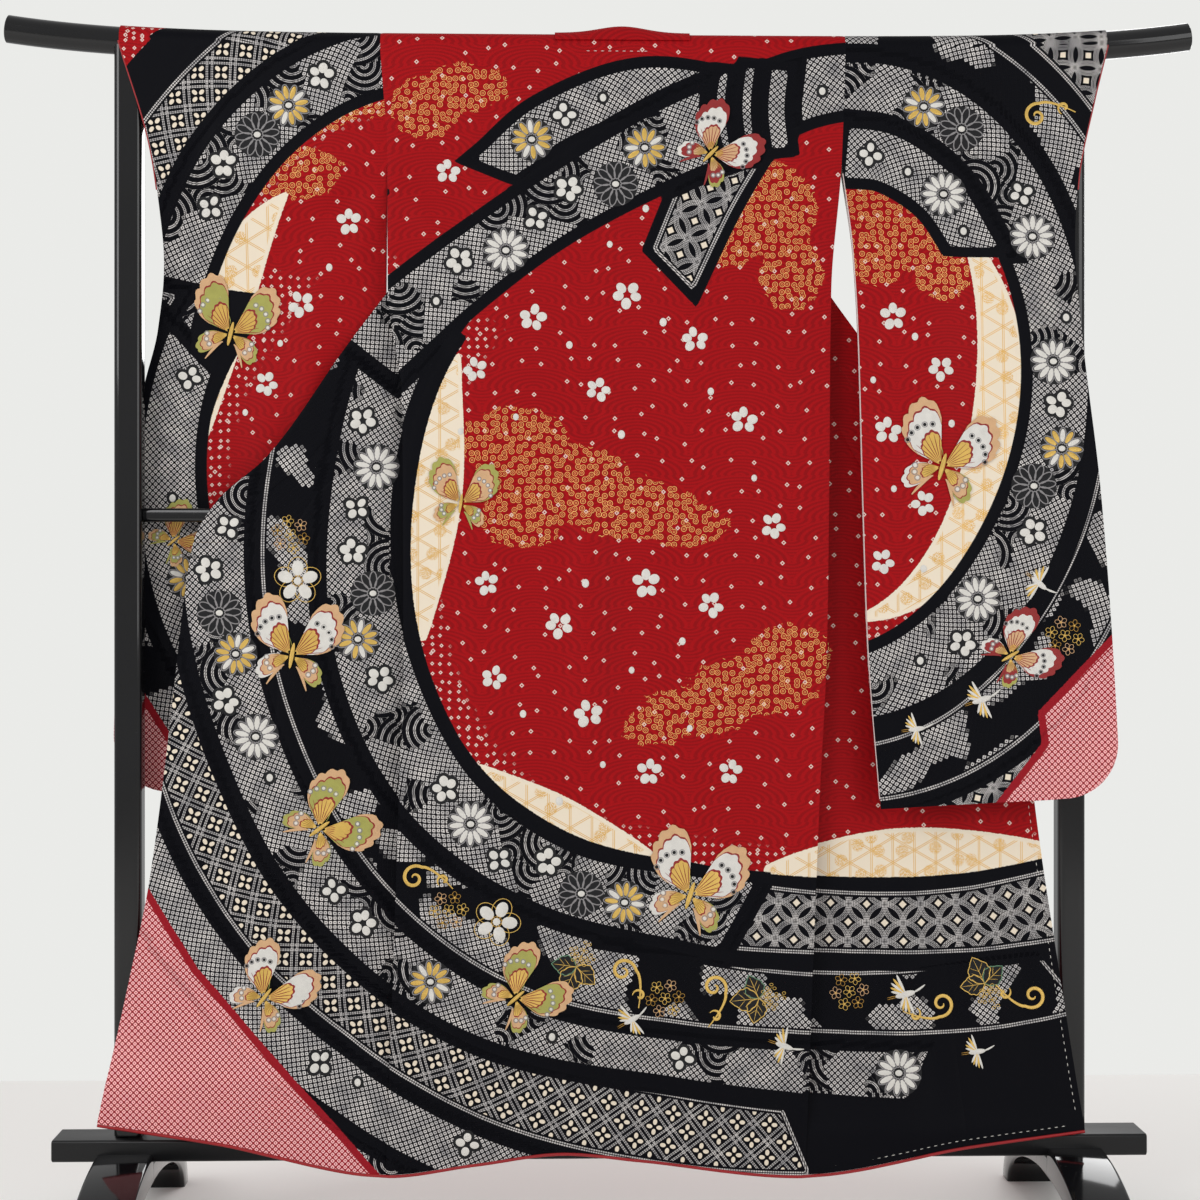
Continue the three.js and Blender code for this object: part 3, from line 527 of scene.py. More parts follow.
def sleeve_depths(sleeve, share, x, level):
    """Depths of a sleeve's near and far layer."""
    creases = LEFT_SLEEVE_CREASES if sleeve is LEFT_SLEEVE else RIGHT_SLEEVE_CREASES
    inner = lean_depth(level) + read(sleeve["inner_depth"], "moved", level)
    outer = read(sleeve["outer_depth"], "y", level)
    near = lerp(inner, outer, smooth(share)) + fold_depth(SLEEVE_FOLDS, share, level)
    sewn_gap = front_base(x, level) - lean_depth(level)
    inner_gap = np.where(level >= SLEEVE_SEAM_END, sewn_gap, read(sleeve["inner_gap"], "gap", level))
    outer_gap = read(sleeve["outer_gap"], "gap", level)
    fullness = smooth((SLEEVE_BELLY["top"] - level) / SLEEVE_BELLY["top_reach"])
    fullness = fullness * smooth((level - sleeve["bottom"]) / SLEEVE_BELLY["bottom_reach"])
    belly = SLEEVE_BELLY["depth"] * np.sin(math.pi * share) * fullness
    near = near + crease_depth(creases, x, level)
    return near, near + lerp(inner_gap, outer_gap, smooth(share)) + belly


def sleeve_surface(sleeve, layer):
    angle, level = hanging_rows(sleeve_levels(sleeve))
    share = shares_across(USUAL_WIDTH["sleeve"])
    inner, outer = sleeve_outline(sleeve, level, layer)
    x = lerp(inner, outer, share)
    fallen = (RAIL["height"] - level) / (RAIL["height"] - sleeve["bottom"])
    rise = (rail_height(x) - RAIL["height"]) * (1 - fallen) + sleeve["bottom_rise"] * share * fallen
    z = level + rise
    near, far = sleeve_depths(sleeve, share, x, level)
    dip = seam_dip(np.abs(x - inner)) * (level >= SLEEVE_SEAM_END)
    y = near + dip if layer == NEAR else far - dip
    return hung(angle, level, np.stack([x, y, z], -1), on_rail(x, np.nan_to_num(angle), layer, -dip), x)


# ------------------------------------------------------------------ meshes


def add_object(name, mesh, slot):
    piece = bpy.data.objects.new(name, mesh)
    bpy.context.scene.collection.objects.link(piece)
    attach(piece, BODY)
    return piece


def strip_faces(rows, count, is_round):
    """The quads between rows of points, and round to each row's first point if the rows are closed."""
    steps = [(i, (i + 1) % count) for i in range(count if is_round else count - 1)]
    starts = [row * count for row in range(rows - 1)]
    return [(row + a, row + b, row + count + b, row + count + a) for row in starts for a, b in steps]


def grid_normals(points):
    normals = np.cross(np.gradient(points, axis=1), np.gradient(points, axis=0))
    return normals / np.linalg.norm(normals, axis=-1, keepdims=True)


def cloth_piece(name, points, flat, slot, materials, outside, is_there):
    """A closed thin wall about a grid of points. Its first material is the silk, its second the lining."""
    rows, columns = points.shape[:2]
    if is_there is None:
        is_there = np.ones((rows - 1, columns - 1), bool)
    normals = grid_normals(points)
    if normals[rows // 2, columns - 3][1] * outside < 0:  # the side that shows comes first
        normals = -normals
    layers = [points + normals * CLOTH / 2, points - normals * CLOTH / 2]
    vertices = np.concatenate([layer.reshape(-1, 3) for layer in layers])
    index = np.arange(rows * columns).reshape(rows, columns)
    below = rows * columns
    row, column = np.nonzero(is_there)
    corners = [index[row, column], index[row, column + 1], index[row + 1, column + 1], index[row + 1, column]]
    quads = np.stack(corners, 1)
    first = quads[len(quads) // 2]
    face = np.cross(vertices[first[1]] - vertices[first[0]], vertices[first[3]] - vertices[first[0]])
    if face @ (vertices[first[0]] - vertices[first[0] + below]) < 0:
        quads = quads[:, ::-1]
    inner = quads[:, ::-1] + below
    edges = np.concatenate([quads[:, [i, (i + 1) % 4]] for i in range(4)])
    keys = edges[:, 0] * np.int64(below) + edges[:, 1]
    opposite = edges[:, 1] * np.int64(below) + edges[:, 0]
    rim = edges[~np.isin(keys, opposite)]
    rims = np.stack([rim[:, 1], rim[:, 0], rim[:, 0] + below, rim[:, 1] + below], 1)
    faces = np.concatenate([quads, inner, rims])
    used, faces = np.unique(faces, return_inverse=True)
    faces = faces.reshape(-1, 4)
    mesh = bpy.data.meshes.new(name)
    mesh.from_pydata((vertices[used] * MM).tolist(), [], faces.tolist())
    place = np.concatenate([flat.reshape(-1, 2)] * 2)[used] * MM
    write_vectors(mesh, "place", np.column_stack([place, np.zeros(len(place))]))
    for material in materials:
        mesh.materials.append(material)
    lining = np.zeros(len(faces), np.int32)
    lining[len(quads): len(quads) + len(inner)] = 1
    mesh.polygons.foreach_set("material_index", lining)
    mesh.polygons.foreach_set("use_smooth", np.ones(len(faces), bool))
    mesh.update()
    mesh.set_sharp_from_angle(angle=math.radians(60))
    return add_object(name, mesh, slot)


def write_vectors(mesh, name, values):
    made = mesh.attributes.get(name) or mesh.attributes.new(name, "FLOAT_VECTOR", "POINT")
    made.data.foreach_set("vector", values.astype(np.float32).ravel())


def plain_material(name, colour, roughness):
    material = bpy.data.materials.new(name)
    material.use_nodes = True
    shader = material.node_tree.nodes["Principled BSDF"]
    shader.inputs["Base Color"].default_value = (*colour, 1)
    shader.inputs["Roughness"].default_value = roughness
    return material


# ------------------------------------------------------------------ the dyed design
# A bundle of ribbons in long turns, as dyed on festive robes. The design is laid out on the flat cloth.

KINDS = {"mixed": 1, "scrolls": 2, "lattice": 3, "rings": 4, "kanoko": 5, "loop": 6}
TURN_POINTS = 90
RUN_ON = 160.0  # a ribbon's middle line goes on straight past its ends, so that they can be cut slanting


def turn(middle, radii, angles, sway=0.0):
    """Points of a turn about a middle: radii (across, up) that may change from start to end, in degrees."""
    share = np.linspace(0, 1, TURN_POINTS)
    angle = np.radians(lerp(angles[0], angles[1], share))
    first, last = radii[:2], radii[-2:]
    swing = sway * np.sin(2 * math.pi * share)
    across = lerp(first[0], last[0], share) + swing
    up = lerp(first[1], last[1], share) + swing
    return np.column_stack([middle[0] + across * np.cos(angle), middle[1] + up * np.sin(angle)])


def flow(*points):
    """A smooth line through a few points."""
    points = np.array(points, float)
    padded = np.concatenate([[2 * points[0] - points[1]], points, [2 * points[-1] - points[-2]]])
    steps = TURN_POINTS // (len(points) - 1)
    line = []
    for i in range(len(points) - 1):
        a, b, c, d = padded[i: i + 4]
        t = np.linspace(0, 1, steps, endpoint=False)[:, None]
        curved, twisted = 2 * a - 5 * b + 4 * c - d, 3 * b - a - 3 * c + d
        line.append(0.5 * (2 * b + (c - a) * t + curved * t**2 + twisted * t**3))
    return np.concatenate([*line, points[-1:]])


def ribbon(line, half_width, fill, slants=(0.0, 0.0), is_lens=False):
    return {"line": line, "half_width": half_width, "fill": fill, "slants": slants, "is_lens": is_lens}


def beside(line, away, sway, start, end):
    """The stretch of a line from one share of its length to another, moved to its left."""
    legs = np.gradient(line, axis=0)
    along = legs / np.linalg.norm(legs, axis=1, keepdims=True)
    share = np.linspace(0, 1, len(line))
    aside = np.column_stack([-along[:, 1], along[:, 0]])
    moved_line = line + aside * (away + sway * np.sin(2 * math.pi * share))[:, None]
    at = np.linspace(start, end, TURN_POINTS)
    return np.column_stack([np.interp(at, share, moved_line[:, i]) for i in (0, 1)])


# The middle line of the innermost ribbon, from the shoulder down the left and round along the hem.
SWEEP = flow(
    (40, 1500), (-150, 1380), (-278, 1220), (-330, 1010), (-316, 800), (-228, 612), (-70, 492), (130, 444),
    (330, 424), (520, 430), (720, 470),
)[::-1]
KNOT = (212, 1560)
SLEEVE_TURN = (330, 1180)
CORNER_TURN = (-250, 1130)
OUTER_TURN = (-60, 1050)

RIBBONS = {
    "body": [
        ribbon(beside(SWEEP, 330, 0, 0, 0.83), 398, "black"),
        ribbon(beside(SWEEP, -72, 0, 0.60, 0.82), 62, "kagome", is_lens=True),
        ribbon(beside(SWEEP, -66, 0, 0.33, 0.50), 44, "kagome", is_lens=True),
        ribbon(beside(SWEEP, -74, 0, 0.03, 0.26), 62, "kagome", is_lens=True),
        ribbon(beside(SWEEP, 482, 6, 0.3, 0.8), 50, "mixed", (0.4, 0.3)),
        ribbon(beside(SWEEP, 386, -8, 0.25, 0.82), 49, "kanoko", (0.5, 0.3)),
        ribbon(beside(SWEEP, 290, 8, 0.22, 0.84), 50, "lattice", (-0.5, 0.3)),
        ribbon(beside(SWEEP, 194, -9, 0.14, 0.86), 52, "mixed", (0.5, 0.5)),
        ribbon(beside(SWEEP, 97, 9, 0.05, 0.8), 52, "scrolls", (-0.5, -0.4)),
        ribbon(beside(SWEEP, 0, -6, 0.0, 0.34), 52, "rings", (0.2, -0.5)),
        ribbon(beside(SWEEP, 0, -6, 0.27, 0.83), 53, "mixed", (0.4, 0.5)),
        ribbon(flow(KNOT, (60, 1585), (-70, 1540), (-150, 1470)), 40, "kanoko", (0, 0.5)),
        ribbon(flow(KNOT, (150, 1450), (96, 1330)), 46, "rings", (0, -0.4)),
        ribbon(flow(KNOT, (90, 1510), (-70, 1420), (-210, 1318), (-330, 1215)), 52, "mixed", (0, 0.2)),
        ribbon(flow(KNOT, (290, 1590), (400, 1606)), 46, "kanoko"),
        ribbon(flow((176, 1614), (170, 1560), (180, 1502)), 17, "loop"),
        ribbon(flow((212, 1622), (206, 1560), (214, 1496)), 17, "loop"),
        ribbon(flow((248, 1620), (242, 1560), (248, 1500)), 17, "loop"),
    ],
    "sleeve_left": [
        ribbon(turn(CORNER_TURN, (440, 570, 470, 600), (88, 186)), 112, "black", (0, 0.4)),
        ribbon(turn(OUTER_TURN, (610, 540, 640, 560), (150, 250)), 118, "black", (-0.5, 0)),
        ribbon(turn(CORNER_TURN, (300, 398, 306, 420), (128, 184)), 40, "kagome", is_lens=True),
        ribbon(turn(CORNER_TURN, (450, 590, 470, 610), (86, 184)), 46, "lattice", (0, 0.4)),
        ribbon(turn(CORNER_TURN, (372, 500, 372, 500), (96, 172)), 44, "mixed", (0.3, -0.4)),
        ribbon(turn(OUTER_TURN, (650, 570, 660, 600), (152, 250), 8), 44, "scrolls", (-0.4, 0)),
        ribbon(turn(OUTER_TURN, (555, 480, 560, 500), (158, 250), -8), 48, "kanoko", (0.5, 0)),
    ],
    "sleeve_right": [
        ribbon(turn(SLEEVE_TURN, (436, 540, 440, 560), (98, -112)), 176, "black"),
        ribbon(turn(SLEEVE_TURN, (226, 322, 214, 330), (44, -88)), 40, "kagome", is_lens=True),
        ribbon(turn(SLEEVE_TURN, (520, 600, 470, 640), (100, -100), 10), 48, "rings", (0, 0.4)),
        ribbon(turn(SLEEVE_TURN, (404, 500, 400, 540), (98, -108), -10), 48, "scrolls", (0, -0.3)),
        ribbon(turn(SLEEVE_TURN, (304, 398, 300, 432), (98, -104), 8), 50, "mixed", (0, 0.4)),
        ribbon(flow((333, 1500), (400, 1490), (470, 1440), (520, 1360)), 40, "kanoko", (0, -0.6)),
    ],
}

# Clouds of gold foil: the middles and radii of the rounds that make them up.
CLOUDS = {
    "body": table(
        "x z across up", (-120, 1090, 74, 54), (-52, 1040, 96, 52), (40, 1004, 90, 44), (112, 980, 60, 30),
        (-110, 990, 60, 40), (236, 1420, 62, 66), (180, 1380, 40, 40), (262, 1330, 44, 52), (210, 760, 92, 40),
        (130, 724, 80, 34), (260, 800, 60, 44), (70, 700, 44, 24), (-190, 1588, 60, 34), (-244, 1560, 50, 44),
    ),
    "sleeve_left": table(
        "x z across up", (-420, 1560, 84, 40), (-500, 1500, 76, 44), (-430, 1470, 70, 36), (-340, 1582, 70, 40),
        (-556, 1470, 40, 30),
    ),
    "sleeve_right": table(
        "x z across up", (398, 1440, 62, 56), (440, 1390, 56, 60), (380, 1360, 44, 50), (470, 1330, 40, 40),
    ),
}
# Corners of pink tie-dye, each where two half planes meet (x, z, direction in degrees).
CORNERS = {
    "body": table(
        "x1 z1 turn1 x2 z2 turn2", (-640, 500, 212, -430, 210, 183), (-505, 310, 222, -505, 310, 222),
    ),
    "sleeve_left": table("x1 z1 turn1 x2 z2 turn2", (-690, 826, 212, -690, 826, 212)),
    "sleeve_right": table(
        "x1 z1 turn1 x2 z2 turn2", (716, 846, -44, 600, 700, 8), (640, 728, -38, 640, 728, -38),
    ),
}
FAR_OFF = 400.0
UNEVEN = 0.09  # how much a ribbon's width comes and goes


def along_ribbon(strip, place):
    """For flat places: the way along a ribbon, the way across it, and how far inside its outline they are."""
    line = strip["line"]
    start = line[0] + (line[0] - line[1]) / np.linalg.norm(line[0] - line[1]) * RUN_ON
    end = line[-1] + (line[-1] - line[-2]) / np.linalg.norm(line[-1] - line[-2]) * RUN_ON
    line = np.concatenate([[start], line, [end]])
    legs = np.diff(line, axis=0)
    lengths = np.linalg.norm(legs, axis=1)
    before = np.concatenate([[0], np.cumsum(lengths)]) - RUN_ON
    whole = before[-1] - RUN_ON
    result = np.tile([0.0, FAR_OFF, -FAR_OFF], (len(place), 1))
    reach = strip["half_width"] + 30
    close = ((place > line.min(0) - reach) & (place < line.max(0) + reach)).all(1)
    if not close.any():
        return result
    from_start = place[close][:, None] - line[None, :-1]
    share = np.clip((from_start * legs).sum(-1) / lengths**2, 0, 1)
    distance = np.linalg.norm(from_start - share[..., None] * legs, axis=-1)
    leg = distance.argmin(1)
    row = np.arange(len(leg))
    nearest = distance[row, leg]
    cross = legs[leg, 0] * from_start[row, leg, 1] - legs[leg, 1] * from_start[row, leg, 0]
    across = nearest * np.sign(cross)
    along = before[leg] + share[row, leg] * lengths[leg]
    half_width = np.full(len(leg), float(strip["half_width"]))
    if strip["is_lens"]:
        half_width *= np.sin(math.pi * np.clip(along / whole, 0, 1)) ** 0.8
    elif strip["fill"] not in ("black", "loop"):
        half_width *= 1 + UNEVEN * np.sin(along / 118 + strip["half_width"])
    inside = half_width - np.abs(across)
    first, last = strip["slants"]
    inside = np.minimum(inside, along - first * across)
    inside = np.minimum(inside, whole - along - last * across)
    result[close] = np.column_stack([along, across, inside])
    return result


MARGIN = {"claim": 9.0, "blank": 10.0}  # ink round a ribbon, and the least way from its outline to its fill


def ribbon_fields(zone, place):
    """The topmost ribbon at each place, and how far the outlines are that end the dye's areas."""
    count = len(place)
    found = {
        "route": np.tile([0.0, FAR_OFF, -FAR_OFF], (count, 1)),
        "kind": np.zeros(count),
        "cover": np.full(count, -FAR_OFF),
        "edge": np.full(count, FAR_OFF),
        "band": np.full(count, -FAR_OFF),
        "crescent": np.full(count, -FAR_OFF),
    }
    for strip in RIBBONS[zone]:
        route = along_ribbon(strip, place)
        inside = route[:, 2]
        if strip["fill"] in ("black", "kagome"):
            field = "band" if strip["fill"] == "black" else "crescent"
            found[field] = np.maximum(found[field], inside)
            continue
        claimed = inside + MARGIN["claim"]
        is_top = claimed > 0
        found["cover"] = np.maximum(found["cover"], claimed)
        found["edge"] = np.where(is_top, claimed, np.minimum(found["edge"], -claimed))
        found["route"][is_top] = route[is_top]
        found["kind"][is_top] = KINDS[strip["fill"]]
    return found


def cloud_field(zone, place):
    """How far inside the nearest cloud's round a place is, less than 0 outside."""
    found = np.full(len(place), -FAR_OFF)
    for x, z, across, up in zip(*CLOUDS[zone].values()):
        ratio = np.hypot((place[:, 0] - x) / across, (place[:, 1] - z) / up)
        found = np.maximum(found, (1 - ratio) * min(across, up))
    return found


def corner_field(zone, place):
    """How far inside a pink corner a place is, less than 0 outside."""
    found = np.full(len(place), -FAR_OFF)
    for x1, z1, turn1, x2, z2, turn2 in zip(*CORNERS[zone].values()):
        halves = [
            (place[:, 0] - x) * math.cos(math.radians(way)) + (place[:, 1] - z) * math.sin(math.radians(way))
            for x, z, way in ((x1, z1, turn1), (x2, z2, turn2))
        ]
        found = np.maximum(found, np.minimum(*halves))
    return found


# ------------------------------------------------------------------ node trees


class Number:
    """A value in a node tree. Arithmetic on it adds Math nodes."""

    def __init__(self, tree, socket):
        self.tree = tree
        self.socket = socket

    def math(self, operation, *others, clamp=False):
        node = self.tree.nodes.new("ShaderNodeMath")
        node.operation = operation
        node.use_clamp = clamp
        for plug, value in zip(node.inputs, (self, *others)):
            join(self.tree, value, plug)
        return Number(self.tree, node.outputs[0])

    def __add__(self, other):
        return self.math("ADD", other)

    def __sub__(self, other):
        return self.math("SUBTRACT", other)

    def __rsub__(self, other):
        return self.math("MULTIPLY_ADD", -1.0, other)

    def __mul__(self, other):
        return self.math("MULTIPLY", other)

    def __truediv__(self, other):
        return self.math("DIVIDE", other)

    __radd__ = __add__
    __rmul__ = __mul__

    def above(self, edge, soft):
        """1 above the edge, 0 below it."""
        return self.math("MULTIPLY_ADD", 1 / soft, 0.5 - edge / soft, clamp=True)

    def below(self, edge, soft):
        return self.math("MULTIPLY_ADD", -1 / soft, 0.5 + edge / soft, clamp=True)

    def near(self, middle, half_width, soft):
        """1 within half_width of the middle."""
        return (self - middle).math("ABSOLUTE").below(half_width, soft)

    def most(self, other):
        return self.math("MAXIMUM", other)

    def size(self):
        return self.math("ABSOLUTE")

    def cell(self):
        """The place in a cell of size 1, from -0.5 to 0.5."""
        return self.math("FRACT") - 0.5


def join(tree, value, plug):
    if isinstance(value, Number):
        tree.links.new(value.socket, plug)
    else:
        plug.default_value = value


def length(a, b):
    return (a * a + b * b).math("SQRT")


def topmost(numbers):
    return functools.reduce(Number.most, numbers)


def bump(tree, height, strength, distance):
    """Fine relief on the tree's shader."""
    node = tree.nodes.new("ShaderNodeBump")
    node.inputs["Strength"].default_value = strength
    node.inputs["Distance"].default_value = distance
    join(tree, height, node.inputs["Height"])
    tree.links.new(node.outputs["Normal"], tree.nodes["Principled BSDF"].inputs["Normal"])


def mix(tree, share, first, second):
    """A mix of two colours, each a socket or three numbers."""
    node = tree.nodes.new("ShaderNodeMix")
    node.data_type = "RGBA"
    join(tree, share, node.inputs["Factor"])
    for plug, colour in ((node.inputs[6], first), (node.inputs[7], second)):
        if isinstance(colour, bpy.types.NodeSocket):
            tree.links.new(colour, plug)
        else:
            plug.default_value = (*colour, 1)
    return node.outputs[2]


def noise(tree, vector, scale, detail):
    node = tree.nodes.new("ShaderNodeTexNoise")
    node.inputs["Scale"].default_value = scale
    node.inputs["Detail"].default_value = detail
    tree.links.new(vector, node.inputs["Vector"])
    return Number(tree, node.outputs[0])


def voronoi(tree, vector, pitch, randomness, metric="EUCLIDEAN"):
    """Distance to the nearest of some scattered points."""
    node = tree.nodes.new("ShaderNodeTexVoronoi")
    node.voronoi_dimensions = "2D"
    node.distance = metric
    node.inputs["Scale"].default_value = 1 / pitch
    node.inputs["Randomness"].default_value = randomness
    tree.links.new(vector, node.inputs["Vector"])
    return Number(tree, node.outputs["Distance"])


def combine(tree, *values):
    node = tree.nodes.new("ShaderNodeCombineXYZ")
    for value, plug in zip(values, node.inputs):
        join(tree, value, plug)
    return node.outputs[0]


def separate(tree, vector):
    node = tree.nodes.new("ShaderNodeSeparateXYZ")
    tree.links.new(vector, node.inputs[0])
    return [Number(tree, socket) for socket in node.outputs]


# ------------------------------------------------------------------ repeats of the dyer's craft
# All take places in metres. Each returns how much of its thread or undyed silk shows, from 0 to 1.

INK = (0.0015, 0.0016, 0.0035)
UNDYED = (0.76, 0.72, 0.69)
# painted shade: the undyed silk of the tied points, greyed as it looks in shade
SHADED_TIE_GREY = (0.34, 0.33, 0.34)
GREY_UNDYED = (0.325, 0.31, 0.315)
GOLD = (0.72, 0.42, 0.11)
FOIL = (0.92, 0.52, 0.17)
RED = (0.335, 0.0036, 0.006)
# painted shade: the red of the woven wave figure, darker where its weave has less sheen
FIGURE_SHADE_RED = (0.20, 0.003, 0.005)
BRIGHT_RED = (0.46, 0.007, 0.011)
TIED_RED = (0.30, 0.010, 0.018)
PINK = (0.96, 0.52, 0.53)
DOT = (0.74, 0.56, 0.50)
CREAM = (0.80, 0.70, 0.56)
PITCH = {
    "kanoko": 0.0061, "figure": 0.0044, "tied_waves": 0.0098, "lattice": 0.032, "rings": 0.036, "basket": 0.030,
    "dots": 0.034, "close_dots": 0.0125, "foil": 0.0098,
}
FIRM = 0.0005  # over how much way a dye's edge comes and goes


def diagonal(s, n, pitch):
    """Places on a grid that is turned by 45 degrees, in cells."""
    k = math.sqrt(0.5) / pitch
    return (s + n) * k, (s - n) * k


def kanoko(s, n):
    """Rows of small tied squares with a dark middle."""
    u, v = diagonal(s, n, PITCH["kanoko"])
    square = u.cell().size().most(v.cell().size())
    round_corner = length(u.cell(), v.cell()) * 0.82
    shape = square.most(round_corner)
    return shape.below(0.365, 0.05) * shape.above(0.13, 0.05)


def kanoko_patch(tree, s, n, scale, edge):
    """A patch of tied squares that ends at whole squares, in clouds."""
    u, v = diagonal(s, n, PITCH["kanoko"])
    cell = combine(tree, u.math("FLOOR"), v.math("FLOOR"), 0.0)
    return (noise(tree, cell, PITCH["kanoko"] / scale, 0.5) - edge).above(0.0, 0.01)


def tied_line(distance, along, half_width=0.0017):
    """A line of tied points."""
    body = distance.size().below(half_width, 0.0006)
    ticks = (along / 0.0033).cell().size().below(0.36, 0.16)
    middle = distance.size().above(half_width * 0.28, 0.0004)
    return body * ticks * middle


def waves(s, n, radius, pitch):
    """Distance to the nearest line of overlapping rounds of waves, in metres."""
    u = s / (2 * radius)
    row = (n / radius).math("FRACT") * radius
    ra = length(u.cell() * (2 * radius), row)
    rb = length((u + 0.5).cell() * (2 * radius), row - radius)
    is_near = ra.below(radius, radius * 0.01)
    r = rb + (ra - rb) * is_near
    return (r / pitch).cell() * pitch


def lattice(s, n, pitch):
    """Crossed double lines with a four-petalled flower in each space."""
    u, v = diagonal(s, n, pitch)
    a, b = u.cell().size(), v.cell().size()
    sides = ((a, v), (b, u))
    lines = topmost(tied_line((0.5 - across) * pitch - 0.0034, along * pitch, 0.0015) for across, along in sides)
    k = math.sqrt(0.5)
    out, aside = (a + b) * k, (a - b) * k
    petal = length((out - 0.215) / 0.125, aside / 0.088)
    return lines, petal.below(1.0, 0.12)


def rings(s, n, pitch):
    """Interlaced rings, in double lines, with a white square in each star."""
    u, v = diagonal(s, n, pitch)
    a, b = u.cell().size(), v.cell().size()
    radius = math.sqrt(0.5)
    first = length(1 - a, b) - radius
    second = length(a, 1 - b) - radius
    lines = topmost(tied_line((d.size() - 0.055) * pitch, (a + b) * pitch, 0.0014) for d in (first, second))
    return lines, a.most(b).below(0.105, 0.02)


def kagome(x, z, pitch):
    """Woven-basket lines in three directions."""
    lines = []
    for angle, phase in ((0, 0.0), (60, 0.0), (120, 0.5)):
        way = math.radians(angle)
        w = ((x * math.cos(way) + z * math.sin(way)) / pitch + phase).cell().size() * pitch
        lines.append((w - 0.0011).size().below(0.00045, 0.0003))
    return topmost(lines)


def attribute(tree, name):
    node = tree.nodes.new("ShaderNodeAttribute")
    node.attribute_name = name
    return node.outputs["Vector"]


RAGGED = 0.0022  # how unevenly a tied edge takes the dye


def ground(tree, place, fields):
    """The red silk: figured with waves whose darker red is painted shade for the weave's weaker sheen, dotted
    white, with clouds of gold foil.
    """
    x, z, _ = separate(tree, place)
    cloud, _, band = separate(tree, fields)
    figure = waves(x * 0.42 + 0.01, z, 0.030, PITCH["figure"]).size().above(PITCH["figure"] / 4, FIRM)
    blotch = noise(tree, place, 5.0, 3).above(0.5, 1.6)
    # painted shade: the woven figure is drawn in darker red for its weaker sheen
    colour = mix(tree, figure * 0.75, RED, FIGURE_SHADE_RED)
    colour = mix(tree, blotch * 0.35, colour, BRIGHT_RED)
    diamonds = voronoi(tree, place, PITCH["dots"], 0.75, "MANHATTAN")
    close = voronoi(tree, place, PITCH["close_dots"], 0.3, "MANHATTAN")
    thin = diamonds.below(0.098, 0.018) * diamonds.above(0.042, 0.015)
    dense = close.below(0.23, 0.04) * close.above(0.08, 0.04) * band.above(-0.034, 0.012)
    dots = thin.most(dense)
    colour = mix(tree, dots, colour, DOT)
    bubbles = voronoi(tree, place, PITCH["foil"], 0.62)
    rim = bubbles.near(0.36, 0.035, 0.03).most(bubbles.near(0.13, 0.025, 0.03))
    foil = rim * (cloud + (noise(tree, place, 60, 2) - 0.5) * 0.02).above(0.0, 0.0008)
    colour = mix(tree, foil, colour, FOIL)
    return colour, foil, (figure * 0.25).most(dots).most(foil * 0.5)


def ribbon_fill(tree, place, route, kind, edge):
    """What the ribbons hold: lattices, rings, waves and rows of tied squares, on black."""
    s, n, inside = separate(tree, route)
    is_kind = {name: kind.near(number, 0.4, 0.1) for name, number in KINDS.items()}
    is_plain = is_kind["mixed"] + is_kind["kanoko"]
    within = (inside + is_plain * 0.005).above(0.0125, FIRM)
    patch_edge = 0.44 + is_kind["scrolls"] * 0.07 - is_kind["kanoko"] * 2 - is_kind["loop"] * 2
    patch = kanoko_patch(tree, s, n, 0.085, patch_edge)
    curves = tied_line(waves(s, n, 0.042, PITCH["tied_waves"]), s + n) * (1 - patch) * is_kind["mixed"]
    crossed, petals = lattice(s, n, PITCH["lattice"])
    circles, squares = rings(s, n, PITCH["rings"])
    ties = (kanoko(s, n) * patch * (1 - is_kind["lattice"]) * (1 - is_kind["rings"])).most(curves)
    grey = ties.most(crossed * is_kind["lattice"]).most(circles * is_kind["rings"])
    white = (petals * is_kind["lattice"]).most(squares * is_kind["rings"]) * within
    border = tied_line(inside - 0.0072, s, 0.0024) * (1 - is_kind["loop"]) * (1 - is_plain)
    grey = (grey * within.most(is_kind["loop"] * inside.above(0.006, FIRM))).most(border)
    shown = edge.above(MARGIN["blank"] * MM, FIRM)
    grey, white = grey * shown, white * shown
    blotch = noise(tree, place, 38, 2)
    # The tied points are undyed silk; their grey is painted shade, mixed in random patches with the plain undyed
    # white.
    thread = mix(tree, blotch.above(0.5, 0.5), SHADED_TIE_GREY, UNDYED)
    colour = mix(tree, white, mix(tree, grey, INK, thread), CREAM)
    return colour, grey.most(white)


